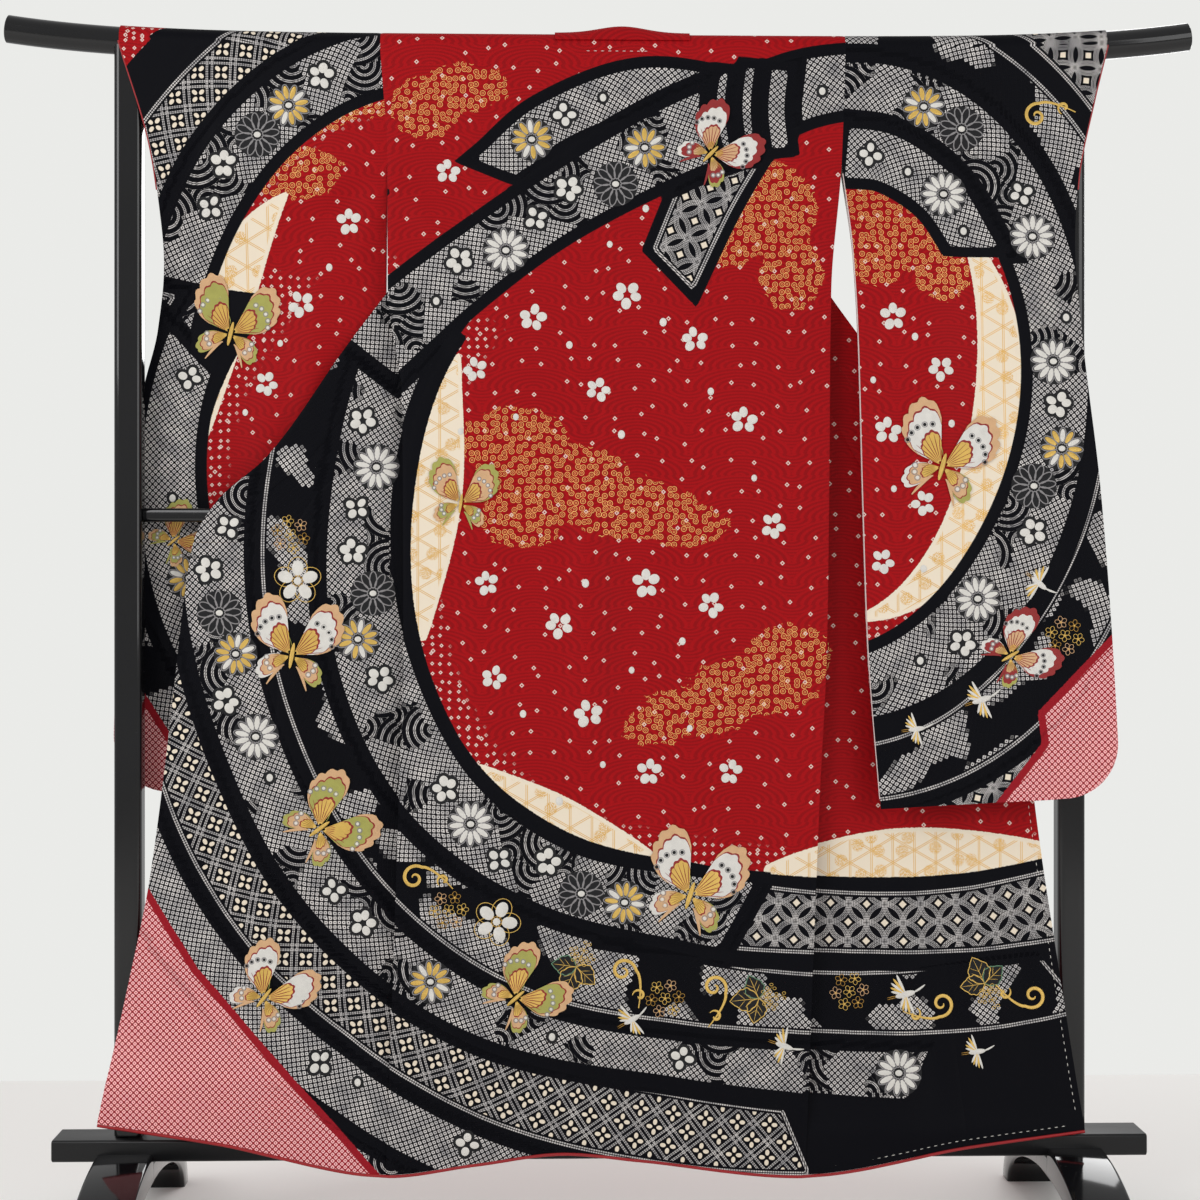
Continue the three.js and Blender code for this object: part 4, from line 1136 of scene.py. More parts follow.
def silk_material():
    """The dyed silk. Where each colour goes is in the pieces' attributes."""
    material = plain_material("dyed_silk", RED, 0.55)
    tree = material.node_tree
    shader = tree.nodes["Principled BSDF"]
    place = attribute(tree, "place")
    x, z, kind = separate(tree, place)
    ragged = (noise(tree, place, 300, 1) - 0.5) * RAGGED
    fields = attribute(tree, "fields")
    colour, gold, relief = ground(tree, place, fields)
    crescent, cover, edge = separate(tree, attribute(tree, "shade"))
    _, corner, band = separate(tree, fields)

    lines = kagome(x, z, PITCH["basket"])
    flecks = voronoi(tree, place, PITCH["dots"], 0.9)
    foil = flecks.below(0.26, 0.05) * noise(tree, place, 700, 1).above(0.5, 0.1)
    foil = lines.most(foil) * crescent.above(0.006, 0.002)
    white = (crescent + ragged).above(0.0, FIRM)
    colour = mix(tree, white, colour, mix(tree, foil, CREAM, GOLD))
    gold = gold * (1 - white) + foil * white
    relief = relief * (1 - white) + foil * white

    black = (band + ragged).above(0.0, FIRM)
    over = (cover + ragged).above(0.0, FIRM)
    fill, thread = ribbon_fill(tree, place, attribute(tree, "route"), kind, edge)
    colour = mix(tree, over, mix(tree, black, colour, INK), fill)
    bare = (1 - black) * (1 - over)
    gold = gold * bare
    relief = relief * bare + thread * over

    tied = (corner + ragged).above(0.0, FIRM)
    ties = kanoko(x, z) * corner.above(0.010, 0.0006)
    colour = mix(tree, tied, colour, mix(tree, ties, TIED_RED, PINK))
    gold = gold * (1 - tied)
    relief = relief * (1 - tied) + ties * tied

    tree.links.new(colour, shader.inputs["Base Color"])
    join(tree, gold * 0.4, shader.inputs["Metallic"])
    join(tree, 0.55 - gold * 0.2 + relief * 0.1, shader.inputs["Roughness"])
    shader.inputs["Specular IOR Level"].default_value = 0.08
    crepe = noise(tree, place, 1400, 1)
    s, n, _ = separate(tree, attribute(tree, "route"))
    bump(tree, kanoko(s, n) * cover.above(0.012, 0.001) + crepe * 0.35, 0.6, 0.0006)
    return material


def dye(piece, zone):
    """Gives a piece of silk its part of the design."""
    mesh = piece.data
    place = np.zeros(3 * len(mesh.vertices), np.float32)
    mesh.attributes["place"].data.foreach_get("vector", place)
    place = place.reshape(-1, 3).astype(float)
    spots = place[:, :2] / MM
    found = ribbon_fields(zone, spots)
    place[:, 2] = found["kind"]
    write_vectors(mesh, "place", place)
    write_vectors(mesh, "route", found["route"] * MM)
    fields = [cloud_field(zone, spots), corner_field(zone, spots), found["band"]]
    write_vectors(mesh, "fields", np.column_stack(fields) * MM)
    write_vectors(mesh, "shade", np.column_stack([found["crescent"], found["cover"], found["edge"]]) * MM)


# ------------------------------------------------------------------ embroidery and foil
# Motifs are drawn flat in millimetres, as (x, z, height above the cloth), and then laid on the cloth.

THREADS = {
    "ink": (INK, 0.0, 0.8),
    "white": ((0.93, 0.90, 0.84), 0.0, 0.75),
    "grey": (GREY_UNDYED, 0.0, 0.8),
    "gold": ((0.90, 0.58, 0.13), 0.35, 0.36),
    "deep_gold": ((0.55, 0.30, 0.05), 0.4, 0.4),
    "peach": ((0.86, 0.52, 0.27), 0.1, 0.55),
    "scarlet": ((0.36, 0.012, 0.012), 0.0, 0.6),
    "olive": ((0.50, 0.48, 0.11), 0.1, 0.55),
    "green": ((0.16, 0.34, 0.20), 0.2, 0.5),
}
THREAD_NUMBER = {name: number for number, name in enumerate(THREADS)}


def oval(across, along, count=16):
    angle = np.linspace(0, 2 * math.pi, count, endpoint=False)
    return np.column_stack([across * np.cos(angle), along * np.sin(angle)])


def moved(points, at=(0, 0), turned=0.0):
    way = math.radians(turned)
    spin = np.array([[math.cos(way), math.sin(way)], [-math.sin(way), math.cos(way)]])
    return np.asarray(points, float) @ spin + at


class Motif:
    """One embroidered or gilded figure about its own middle."""

    def __init__(self):
        self.points = []
        self.faces = []
        self.threads = []
        self.count = 0

    def add(self, points, faces, threads):
        self.points.append(points)
        self.faces.extend([tuple(index + self.count for index in face) for face in faces])
        self.threads.extend(threads)
        self.count += len(points)

    def dome(self, outline, thread, base, height=0.5):
        """A rounded patch inside an outline."""
        outline = np.asarray(outline, float)
        middle = outline.mean(0)
        count = len(outline)
        shares, heights = (1.0, 0.82, 0.45), (base, base + 0.7 * height, base + 0.95 * height)
        rings_made = [
            np.column_stack([middle + (outline - middle) * share, np.full(count, level)])
            for share, level in zip(shares, heights)
        ]
        points = np.concatenate([*rings_made, [[*middle, base + height]]])
        faces = strip_faces(3, count, True)
        faces += [(2 * count + i, 2 * count + (i + 1) % count, 3 * count) for i in range(count)]
        self.add(points, faces, [thread] * len(faces))

    def line(self, points, width, thread, base, height=0.35, taper=True):
        """A couched thread or a brushed line along some points."""
        points = np.asarray(points, float)
        along = np.gradient(points, axis=0)
        along /= np.maximum(np.linalg.norm(along, axis=1, keepdims=True), 1e-9)
        aside = np.column_stack([-along[:, 1], along[:, 0]])
        share = np.linspace(0, 1, len(points))
        fullness = np.clip(np.sin(math.pi * share), 0.12, 1) ** 0.5 if taper else np.ones(len(points))
        aside = aside * (width / 2 * fullness)[:, None]
        rows = [
            np.column_stack([points + side * aside, np.full(len(points), level)])
            for side, level in ((-1, base), (0, base + height), (1, base))
        ]
        faces = strip_faces(3, len(points), False)
        self.add(np.concatenate(rows), faces, [thread] * len(faces))

    def loop(self, outline, width, thread, base, height=0.3):
        outline = np.asarray(outline, float)
        self.line(np.concatenate([outline, outline[:2]]), width, thread, base, height, taper=False)

    def sector(self, root, bands, way, reach, spread, scallops, lean, base):
        """A wing: bands (share of the reach, thread) from its rim in, fanned out from its root."""
        across = np.linspace(-1, 1, 29)
        angle = np.radians(way + spread / 2 * across)
        rim = reach * (0.60 + 0.40 * (1 - np.abs(across) ** 3.2)) * (1 + 0.30 * across * lean)
        rim = rim * (0.96 + 0.06 * np.abs(np.sin(scallops * math.pi * (across + 1) / 2)))
        shape = np.column_stack([np.cos(angle), np.sin(angle)]) * rim[:, None]
        shares = [share for share, _ in bands] + [0.06]
        count = len(across)
        points = np.concatenate([
            np.column_stack([shape * share + root, np.full(count, base + 0.45 * math.sqrt(1 - share * 0.9))])
            for share in shares
        ])
        threads = [thread for _, thread in bands for _ in range(count - 1)]
        self.add(points, strip_faces(len(shares), count, False), threads)


def plum(size, on_black, petals, turned):
    """A five-petalled plum blossom in white, with ink round it where it lies on tied squares."""
    motif = Motif()
    for i in range(petals):
        way = turned + 360 * i / petals + 9 * math.sin(2.1 * i + turned)
        long, wide = size * (0.195 + 0.02 * math.sin(3 * i)), size * (0.165 + 0.012 * math.cos(2 * i + 1))
        middle = moved([[size * 0.31, 0]], turned=way)[0]
        if on_black:
            motif.dome(moved(oval(long + 4.2, wide + 4.2), middle, way), "ink", 0.22, 0.05)
        motif.dome(moved(oval(long, wide), middle, way), "white", 0.38, 0.6)
    if on_black:
        motif.dome(oval(size * 0.2, size * 0.2), "ink", 0.2, 0.05)
    return motif


def bud(size, on_black=False):
    motif = Motif()
    if on_black:
        motif.dome(oval(size * 0.5 + 4, size * 0.6 + 4), "ink", 0.22, 0.05)
    motif.dome(oval(size * 0.5, size * 0.6, 12), "white", 0.38, 0.7)
    return motif


def chrysanthemum(size, petals, thread, turned):
    """Long petals round a white middle, outlined in grey."""
    motif = Motif()
    motif.dome(oval(size * 0.54, size * 0.54, 26), "ink", 0.2, 0.04)
    for i in range(petals):
        way = turned + 360 * i / petals
        middle = moved([[size * 0.325, 0]], turned=way)[0]
        petal = moved(oval(size * 0.165, size * 0.062, 12), middle, way)
        outline = moved(oval(size * 0.20, size * 0.085, 14), middle, way)
        motif.loop(outline, 1.5, "grey", 0.32, 0.25)
        if thread:
            motif.dome(petal, thread if i % 5 else "white", 0.42, 0.5)
    motif.dome(oval(size * 0.085, size * 0.07, 12), "white", 0.5, 0.8)
    return motif


def scroll(size, turned):
    """A gold tendril that curls one way and back the other."""
    motif = Motif()
    turns = np.linspace(0, 1, 34)
    angle = np.radians(40 + 470 * turns)
    curl = size * 0.30 * (1 - 0.86 * turns**0.8)
    first = np.column_stack([curl * np.cos(angle), curl * np.sin(angle)])
    stem = np.linspace(0, 1, 14)[:-1]
    start = first[0]
    tail = np.column_stack([
        start[0] + size * 0.55 * (1 - stem), start[1] - size * 0.62 * (1 - stem) ** 1.6,
    ])
    motif.line(moved(np.concatenate([tail, first]), turned=turned), size * 0.075, "gold", 0.45, 0.6)
    angle = np.radians(215 - 330 * turns)
    curl = size * 0.15 * (1 - 0.8 * turns)
    second = np.column_stack([size * 0.62 + curl * np.cos(angle), -size * 0.2 + curl * np.sin(angle)])
    motif.line(moved(second, turned=turned), size * 0.06, "gold", 0.5, 0.6)
    return motif


def leaf_outline(length, width):
    """A pointed leaf with four lobes on each side."""
    share = np.linspace(0, 1, 22)
    half = width / 2 * np.sin(math.pi * share**0.8) * (1 + 0.16 * np.abs(np.sin(4 * math.pi * share)))
    one = np.column_stack([length * share, half])
    other = np.column_stack([length * share, -half])[::-1]
    return np.concatenate([one, other[1:-1]])


def spoke(start, end, count):
    """Points straight out to the right."""
    return np.column_stack([np.linspace(start, end, count), np.zeros(count)])


def paulownia(size, turned):
    """Three lobed leaves under flower spikes, in fine gold and green lines."""
    motif = Motif()
    for way, scale in ((-90, 1.0), (-162, 0.86), (-18, 0.86)):
        leaf = leaf_outline(size * 0.48 * scale, size * 0.34 * scale)
        motif.dome(moved(leaf, turned=turned + way), "ink", 0.24, 0.06)
        motif.loop(moved(leaf, turned=turned + way), 1.2, "green" if way < -90 else "gold", 0.42)
        motif.line(moved(spoke(2, size * 0.44 * scale, 6), turned=turned + way), 0.9, "gold", 0.42)
        for side in (-1, 1):
            for start in (0.12, 0.22):
                out = np.linspace(0, 1, 5)
                rib = np.column_stack([size * scale * (start + 0.12 * out), side * size * scale * 0.12 * out])
                motif.line(moved(rib, turned=turned + way), 0.7, "gold", 0.42)
    for way, scale in ((90, 1.0), (124, 0.72), (56, 0.72)):
        motif.line(moved(spoke(0, size * 0.42 * scale, 7), turned=turned + way), 0.9, "gold", 0.42)
        for share in (0.4, 0.7, 1.0):
            at = moved([[size * 0.42 * scale * share, 0]], turned=turned + way)[0]
            for side in (-1, 1):
                aside = moved([[0, side * 3.4]], turned=turned + way)[0]
                motif.loop(moved(oval(2.4, 2.0, 8), at + aside), 0.7, "gold", 0.42)
    return motif


def gilded_plum(size, turned):
    """Large white petals, each inside a round of gold line."""
    motif = Motif()
    for i in range(5):
        way = turned + 72 * i
        middle = moved([[size * 0.27, 0]], turned=way)[0]
        motif.dome(moved(oval(size * 0.165, size * 0.125), middle, way), "white", 0.4, 0.7)
        motif.loop(moved(oval(size * 0.235, size * 0.205, 18), middle, way), 0.9, "gold", 0.45)
    motif.dome(oval(size * 0.08, size * 0.08, 12), "white", 0.6, 0.7)
    motif.loop(oval(size * 0.11, size * 0.11, 12), 0.9, "deep_gold", 0.6)
    return motif


def posy(size, turned):
    """A cluster of small flowers in gold line."""
    motif = Motif()
    for i in range(7):
        middle = moved([[size * (0.0 if i == 6 else 0.33), 0]], turned=turned + 60 * i)[0]
        thread = ("gold", "deep_gold", "peach")[i % 3]
        for j in range(5):
            way = 72 * j + 20 * i
            petal = moved([[size * 0.085, 0]], turned=way)[0]
            motif.loop(moved(oval(size * 0.062, size * 0.05, 10), middle + petal, way), 0.7, thread, 0.4)
        motif.dome(moved(oval(1.3, 1.3, 8), middle), "gold", 0.45, 0.4)
    return motif


WING_TINTS = (  # rim, field and heart of the fore wings
    ("peach", "white", "gold"), ("olive", "peach", "gold"), ("peach", "olive", "gold"),
    ("scarlet", "white", "peach"),
)


FORE_WING = {"reach": 0.58, "spread": 66, "scallops": 6, "spots": 5, "base": 0.8, "veins": "scarlet"}
HIND_WING = {"reach": 0.34, "spread": 56, "scallops": 4, "spots": 3, "base": 0.5, "veins": "deep_gold"}


def butterfly(size, turned, tint):
    """Two broad fore wings and two hind wings in padded satin stitch, with tails and feelers."""
    motif = Motif()
    rim, field, heart = WING_TINTS[int(tint)]
    far_rim = "peach" if rim == "olive" else "olive"
    for wing, way, lean, edge, inner in (
        (FORE_WING, 108, -1, rim, field), (FORE_WING, 12, 1, rim, field),
        (HIND_WING, 176, 1, field, rim), (HIND_WING, -56, -1, far_rim, rim),
    ):
        reach, spread, base = size * wing["reach"], wing["spread"], wing["base"]
        bands = ((1.0, edge), (0.87, "scarlet"), (0.84, inner), (0.52, "scarlet"), (0.48, heart), (0.2, "gold"))
        root = moved([[3, 0]], turned=way + turned)[0]
        motif.sector(root, bands, way + turned, reach, spread, wing["scallops"], lean, base)
        for i in range(wing["spots"]):
            share = (i + 0.5) / wing["spots"] - 0.5
            angle = way + spread * 0.78 * share + turned
            at = moved([[reach * (0.70 - 0.25 * share**2), 0]], turned=angle)[0] + root
            spot = "ink" if inner == "white" else "white"
            motif.dome(moved(oval(size * 0.017, size * 0.017, 10), at), spot, base + 0.35, 0.2)
            motif.loop(moved(oval(size * 0.025, size * 0.025, 12), at), 1.1, "grey", base + 0.35, 0.2)
        for i in range(7):
            angle = way + spread * (i / 6 - 0.5) * 0.86 + turned
            vein = moved(spoke(size * 0.05, reach * 0.5, 5), turned=angle)
            motif.line(vein + root, 1.1, wing["veins"], base + 0.42, 0.2)
    body = moved(oval(size * 0.13, size * 0.022, 16), (0, 0), 60 + turned)
    motif.dome(body, "gold", 1.1, 1.2)
    share = np.linspace(0, 1, 10)
    for lean in (-1, 1):
        aside = 0.03 + 0.05 * lean + 0.16 * lean * share
        feeler = size * np.column_stack([aside, 0.1 + 0.2 * share**0.7])
        motif.line(moved(feeler, turned=turned - 30), 1.4, "olive", 0.7)
        tail = np.column_stack([size * (0.06 + 0.14 * share) * lean, -size * (0.10 + 0.22 * share**1.4)])
        motif.line(moved(tail, turned=turned - 30), size * 0.03, rim, 0.6)
    return motif


def crane(size, turned):
    """A small flying bird in cream and gold."""
    motif = Motif()
    motif.dome(moved(oval(size * 0.24, size * 0.075, 14), turned=turned), "white", 0.5, 0.8)
    neck = size * np.column_stack([np.linspace(0.18, 0.5, 8), 0.1 * np.linspace(0, 1, 8) ** 1.5])
    motif.line(moved(neck, turned=turned), size * 0.05, "white", 0.5, 0.6)
    for lean in (1, -0.8):
        for i in range(5):
            way = lean * (100 + 14 * i)
            feather = moved(oval(size * (0.26 - 0.02 * i), size * 0.035, 10), (size * (0.24 - 0.02 * i), 0))
            thread = "gold" if i % 2 else "white"
            motif.dome(moved(feather, turned=way + turned), thread, 0.45 + 0.03 * i)
    for lean in (-1, 1):
        leg = np.column_stack([np.linspace(-size * 0.2, -size * 0.44, 5), np.full(5, lean * 1.2)])
        motif.line(moved(leg, turned=turned), 1.0, "deep_gold", 0.5)
    return motif


# ------------------------------------------------------------------ motifs on the cloth

EDGE_ROOM = 5.0


def body_ground(x, z):
    """Depth of the body's visible face, which piece it is, and whether these places are on it."""
    left, right = read(LEFT["side_seam"], "x", z), read(RIGHT["side_seam"], "x", z)
    part = np.where(x < left, 1, np.where(x > right, 2, 0))
    y = back_depth(x, z)
    room = np.minimum(x - left, right - x)
    for number, side in ((1, LEFT), (2, RIGHT)):
        whole = front_widths(side, z)["whole"]
        _, radius, _, turn_start, _, _ = front_fold(side, z, whole, np.full_like(z, np.nan))
        behind = radius * (1 + np.cos(turn_start))
        seam = read(side["side_seam"], "x", z)
        open_edge = read(side["open_edge"], "x", z)
        front_room = np.minimum(side["outward"] * (x - seam), side["outward"] * (open_edge - x))
        front_room = np.where(z < SIDE_SEAM_TOP, front_room, -1)
        y = np.where(part == number, front_base(x, z) + behind, y)
        room = np.where(part == number, front_room, room)
    room = np.minimum(room, z - hem_height(x))
    room = np.minimum(room, RAIL["height"] - z)
    return y, part, room


def sleeve_ground(sleeve, layer, x, z):
    """The same for a layer of a sleeve, which is one piece."""
    level = z.copy()
    for _ in range(3):
        inner, outer = sleeve_outline(sleeve, level, layer)
        share = np.clip((x - inner) / (outer - inner), 0, 1)
        fallen = (RAIL["height"] - level) / (RAIL["height"] - sleeve["bottom"])
        rise = (rail_height(x) - RAIL["height"]) * (1 - fallen) + sleeve["bottom_rise"] * share * fallen
        level = z - rise
    near, far = sleeve_depths(sleeve, share, x, level)
    outward = sleeve["side"]["outward"]
    room = np.minimum(outward * (x - inner), outward * (outer - x))
    room = np.minimum(room, level - sleeve["bottom"])
    room = np.minimum(room, RAIL["height"] - level)
    return (near if layer == NEAR else far), np.zeros(x.shape, int), room


def ground_of(zone, layer, x, z):
    if zone == "body":
        return body_ground(x, z)
    return sleeve_ground(LEFT_SLEEVE if zone == "sleeve_left" else RIGHT_SLEEVE, layer, x, z)


MAKERS = {
    "plum": lambda turned: plum(36, True, 5, turned),
    "small_plum": lambda turned: plum(32, True, 4, turned),
    "bud": lambda turned: bud(9, True),
    "white_chrysanthemum": lambda turned: chrysanthemum(60, 13, "white", turned),
    "line_chrysanthemum": lambda turned: chrysanthemum(58, 12, None, turned),
    "gold_chrysanthemum": lambda turned: chrysanthemum(56, 12, "gold", turned),
    "scroll": lambda turned: scroll(62, turned),
    "paulownia": lambda turned: paulownia(84, turned),
    "gilded_plum": lambda turned: gilded_plum(66, turned),
    "posy": lambda turned: posy(58, turned),
}
ALONG = {  # what lies along each kind of ribbon, in turn, and how far apart
    "mixed": (60, "white_chrysanthemum plum gold_chrysanthemum line_chrysanthemum plum small_plum "
                  "white_chrysanthemum plum bud"),
    "scrolls": (64, "scroll paulownia scroll gilded_plum posy scroll paulownia scroll posy"),
    "kanoko": (58, "small_plum bud white_chrysanthemum bud small_plum gold_chrysanthemum"),
}
ROOM = {"inside": 18, "edge": 26, "butterfly": 0.52, "crane": 50, "corner": 30}


def has_room(zone, at, fill):
    """Whether a motif fits here: well inside its ribbon, and clear of winged ones and of the pink corners."""
    found = ribbon_fields(zone, at[None, :])
    if found["kind"][0] != KINDS[fill] or corner_field(zone, at[None, :])[0] > -ROOM["corner"]:
        return False
    if found["route"][0, 2] < ROOM["inside"] or found["edge"][0] < ROOM["edge"]:
        return False
    butterflies, cranes = (
        np.hypot(kind[zone]["x"] - at[0], kind[zone]["z"] - at[1]) for kind in (BUTTERFLIES, CRANES)
    )
    is_clear = butterflies >= ROOM["butterfly"] * BUTTERFLIES[zone]["size"]
    return is_clear.all() and (cranes >= ROOM["crane"]).all()


def ribbon_motifs(zone):
    """Flowers, scrolls and leaves along the ribbons, by the kind of each ribbon."""
    for strip in RIBBONS[zone]:
        if strip["fill"] not in ALONG:
            continue
        spacing, names = ALONG[strip["fill"]]
        names = names.split()
        line = strip["line"]
        way = np.concatenate([[0], np.cumsum(np.linalg.norm(np.diff(line, axis=0), axis=1))])
        for i, at_way in enumerate(np.arange(spacing * 0.7, way[-1] - 20, spacing)):
            at, ahead = (
                np.array([np.interp(far, way, line[:, k]) for k in (0, 1)]) for far in (at_way, at_way + 3)
            )
            ahead = ahead - at
            slip = (strip["half_width"] - 36) * math.sin(2.3 * i + len(line))
            at = at + np.array([-ahead[1], ahead[0]]) / np.linalg.norm(ahead) * slip
            if has_room(zone, at, strip["fill"]):
                course = math.degrees(math.atan2(ahead[1], ahead[0]))
                yield at, MAKERS[names[i % len(names)]](course + 17 * i), 0.0


# Blossoms and buds on the red, and the winged ones over everything.
BLOSSOMS = {
    "body": table(
        "x z turn size", (-96, 1268, 10, 38), (34, 1300, 50, 40), (128, 1238, 24, 36), (-6, 1168, 70, 34),
        (196, 1126, 12, 38), (-176, 1196, 35, 34), (236, 980, 66, 36), (60, 900, 20, 40), (-60, 842, 44, 38),
        (-150, 770, 4, 34), (150, 870, 58, 36), (-20, 720, 30, 40), (64, 640, 14, 36), (-100, 640, 62, 36),
        (20, 570, 40, 38), (176, 640, 8, 34), (-160, 900, 26, 34), (110, 1560, 33, 30), (-214, 1470, 12, 34),
    ),
    "sleeve_left": table("x z turn size", (-352, 1402, 20, 36), (-420, 1290, 48, 38), (-350, 1210, 10, 36),
                         (-470, 1180, 66, 34), (-390, 1100, 30, 36)),
    "sleeve_right": table("x z turn size", (400, 1268, 20, 38), (466, 1196, 50, 36), (392, 1110, 12, 38),
                          (440, 1010, 40, 34), (384, 930, 66, 34)),
}
BUDS = {
    "body": table("x z size", (-46, 1230, 9), (84, 1262, 10), (-120, 1130, 8), (150, 1166, 9), (26, 1106, 10),
                  (210, 1046, 8), (-24, 900, 10), (110, 820, 9), (-110, 720, 9), (40, 780, 8), (-60, 600, 10),
                  (120, 700, 8), (0, 650, 8), (-196, 1110, 8), (60, 1420, 9), (10, 1370, 8)),
    "sleeve_left": table("x z size", (-380, 1340, 9), (-450, 1236, 8), (-330, 1150, 9), (-500, 1140, 8)),
    "sleeve_right": table("x z size", (430, 1240, 9), (372, 1180, 8), (480, 1120, 9), (400, 1030, 8),
                          (440, 920, 9)),
}
BUTTERFLIES = {
    "body": table(
        "x z size turn tint", (150, 1496, 118, -14, 3), (-196, 1010, 104, 22, 1), (-430, 800, 140, 20, 0),
        (-392, 560, 132, -24, 2), (-560, 590, 104, 34, 1), (-466, 330, 122, -8, 0), (120, 470, 150, 12, 0),
        (-120, 330, 120, -20, 2),
    ),
    "sleeve_left": table("x z size turn tint", (-520, 1250, 132, 16, 2), (-600, 960, 90, -20, 1)),
    "sleeve_right": table(
        "x z size turn tint", (580, 1290, 118, -18, 1), (466, 1060, 150, 14, 0), (560, 800, 110, -30, 3),
    ),
}
CRANES = {
    "body": table(
        "x z size turn", (420, 330, 60, 14), (250, 262, 54, -20), (40, 300, 52, 30), (520, 250, 50, 8),
    ),
    "sleeve_left": table("x z size turn", (-630, 1100, 40, 70)),
    "sleeve_right": table("x z size turn", (520, 740, 58, 18), (600, 900, 54, -40), (430, 700, 48, 8)),
}


def zone_motifs(zone):
    """(place, motif, how far it is raised) for all that lies on a zone's cloth."""
    yield from ribbon_motifs(zone)
    for x, z, turned, size in zip(*BLOSSOMS[zone].values()):
        found = ribbon_fields(zone, np.array([[x, z]]))
        if found["crescent"][0] < -size / 2 and found["cover"][0] < -size / 2:
            yield (x, z), plum(size, False, 5, turned), 0.0
    for x, z, size in zip(*BUDS[zone].values()):
        yield (x, z), bud(size), 0.0
    if zone == "body":
        z = np.linspace(600, 165, 30)
        x = np.linspace(640, 310, 30)
        down_the_edge = np.column_stack([read(RIGHT["open_edge"], "x", z) - STITCH["inset"], z])
        along_the_hem = np.column_stack([x, hem_height(x) + STITCH["inset"]])
        for line in (down_the_edge, along_the_hem, [(-22, 1639.5), (70, 1639.5)]):
            for motif in stitch_line(line):
                yield (0, 0), motif, 0.0
    for x, z, size, turned in zip(*CRANES[zone].values()):
        yield (x, z), crane(size, turned), 0.9
    for x, z, size, turned, tint in zip(*BUTTERFLIES[zone].values()):
        yield (x, z), butterfly(size, turned, tint), 1.0


def embroider(name, zone, layer):
    """One joined mesh of all the motifs on a zone's cloth. A motif that would cross a seam is left out."""
    points, faces, threads, count = [], [], [], 0
    for at, motif, raised in zone_motifs(zone):
        flat = np.concatenate(motif.points)
        x, z = flat[:, 0] + at[0], flat[:, 1] + at[1]
        y, part, room = ground_of(zone, layer, x, z)
        if room.min() < EDGE_ROOM or part.min() != part.max():
            continue
        lift = CLOTH / 2 + flat[:, 2] + raised
        points.append(np.column_stack([x, y + layer * lift, z]))
        faces.extend([tuple(index + count for index in face) for face in motif.faces])
        threads.extend(THREAD_NUMBER[thread] for thread in motif.threads)
        count += len(flat)
    mesh = bpy.data.meshes.new(name)
    mesh.from_pydata((np.concatenate(points) * MM).tolist(), [], faces)
    for material in THREAD_MATERIALS:
        mesh.materials.append(material)
    mesh.polygons.foreach_set("material_index", threads)
    mesh.polygons.foreach_set("use_smooth", [True] * len(faces))
    mesh.update()
    return add_object(name, mesh, "silk_red")


def thread_material(name):
    """Floss or gold thread, with the sheen of its stitches painted into its colour."""
    colour, metal, rough = THREADS[name]
    material = plain_material(f"thread_{name}", colour, rough)
    tree = material.node_tree
    shader = tree.nodes["Principled BSDF"]
    where = tree.nodes.new("ShaderNodeTexCoord").outputs["Object"]
    x, _, z = separate(tree, where)
    stitches = ((x + z) * 900).cell().size() * 2
    # painted sheen: each stitch runs from a darker to a lighter colour across it, over a random tone; the
    # stitches are also in the bump
    tone = stitches * 0.45 + noise(tree, where, 90, 2) * 0.4
    dark = tuple(0.55 * part for part in colour)
    tree.links.new(mix(tree, tone, dark, colour), shader.inputs["Base Color"])
    shader.inputs["Metallic"].default_value = metal
    bump(tree, stitches, 0.5, 0.0003)
    return material


# ------------------------------------------------------------------ the stand, and the cloth's edges


LACQUER = (0.0035, 0.0035, 0.004)


def rounded_rectangle(across, up, corner, sides=6):
    """Points round a rectangle with rounded corners, about its middle."""
    points = []
    for turn_from, (x, y) in enumerate(((1, 1), (-1, 1), (-1, -1), (1, -1))):
        angle = math.pi / 2 * (turn_from + np.linspace(0, 1, sides + 1))
        middle = x * (across / 2 - corner), y * (up / 2 - corner)
        points.append(middle + corner * np.column_stack([np.cos(angle), np.sin(angle)]))
    return np.concatenate(points)


def closed_mesh(name, rows, slot, material, sharp_angle=40):
    """A skin over closed rows of points, (rows, points, 3) in millimetres, with its ends closed."""
    count = rows.shape[1]
    last = (len(rows) - 1) * count
    faces = strip_faces(len(rows), count, True)
    faces += [tuple(reversed(range(count))), tuple(range(last, last + count))]
    mesh = bpy.data.meshes.new(name)
    mesh.from_pydata((rows.reshape(-1, 3) * MM).tolist(), [], faces)
    mesh.polygons.foreach_set("use_smooth", [True] * len(faces))
    mesh.materials.append(material)
    mesh.update()
    mesh.set_sharp_from_angle(angle=math.radians(sharp_angle))
    return add_object(name, mesh, slot)


BEVEL = (0.0, 0.35, 1.0)  # how far each row at an end has come out to the full outline


def bar(name, outline, axis, start, end, middle, slot, material, ease=1.6):
    """A straight bar of a section, with eased ends, along axis 0 (X), 1 (Y) or 2 (Z)."""
    others = [i for i in range(3) if i != axis]
    rows = []
    ends = [(start + ease * share, 1 - (1 - share) ** 2) for share in BEVEL]
    ends += [(end - ease * share, 1 - (1 - share) ** 2) for share in reversed(BEVEL)]
    for at, out in ends:
        row = np.zeros((len(outline), 3))
        row[:, axis] = at
        reach = np.abs(outline).max(0)
        scaled = outline * (1 - (1 - out) * ease / reach)
        row[:, others[0]] = scaled[:, 0] + middle[others[0]]
        row[:, others[1]] = scaled[:, 1] + middle[others[1]]
        rows.append(row)
    return closed_mesh(name, np.array(rows), slot, material)


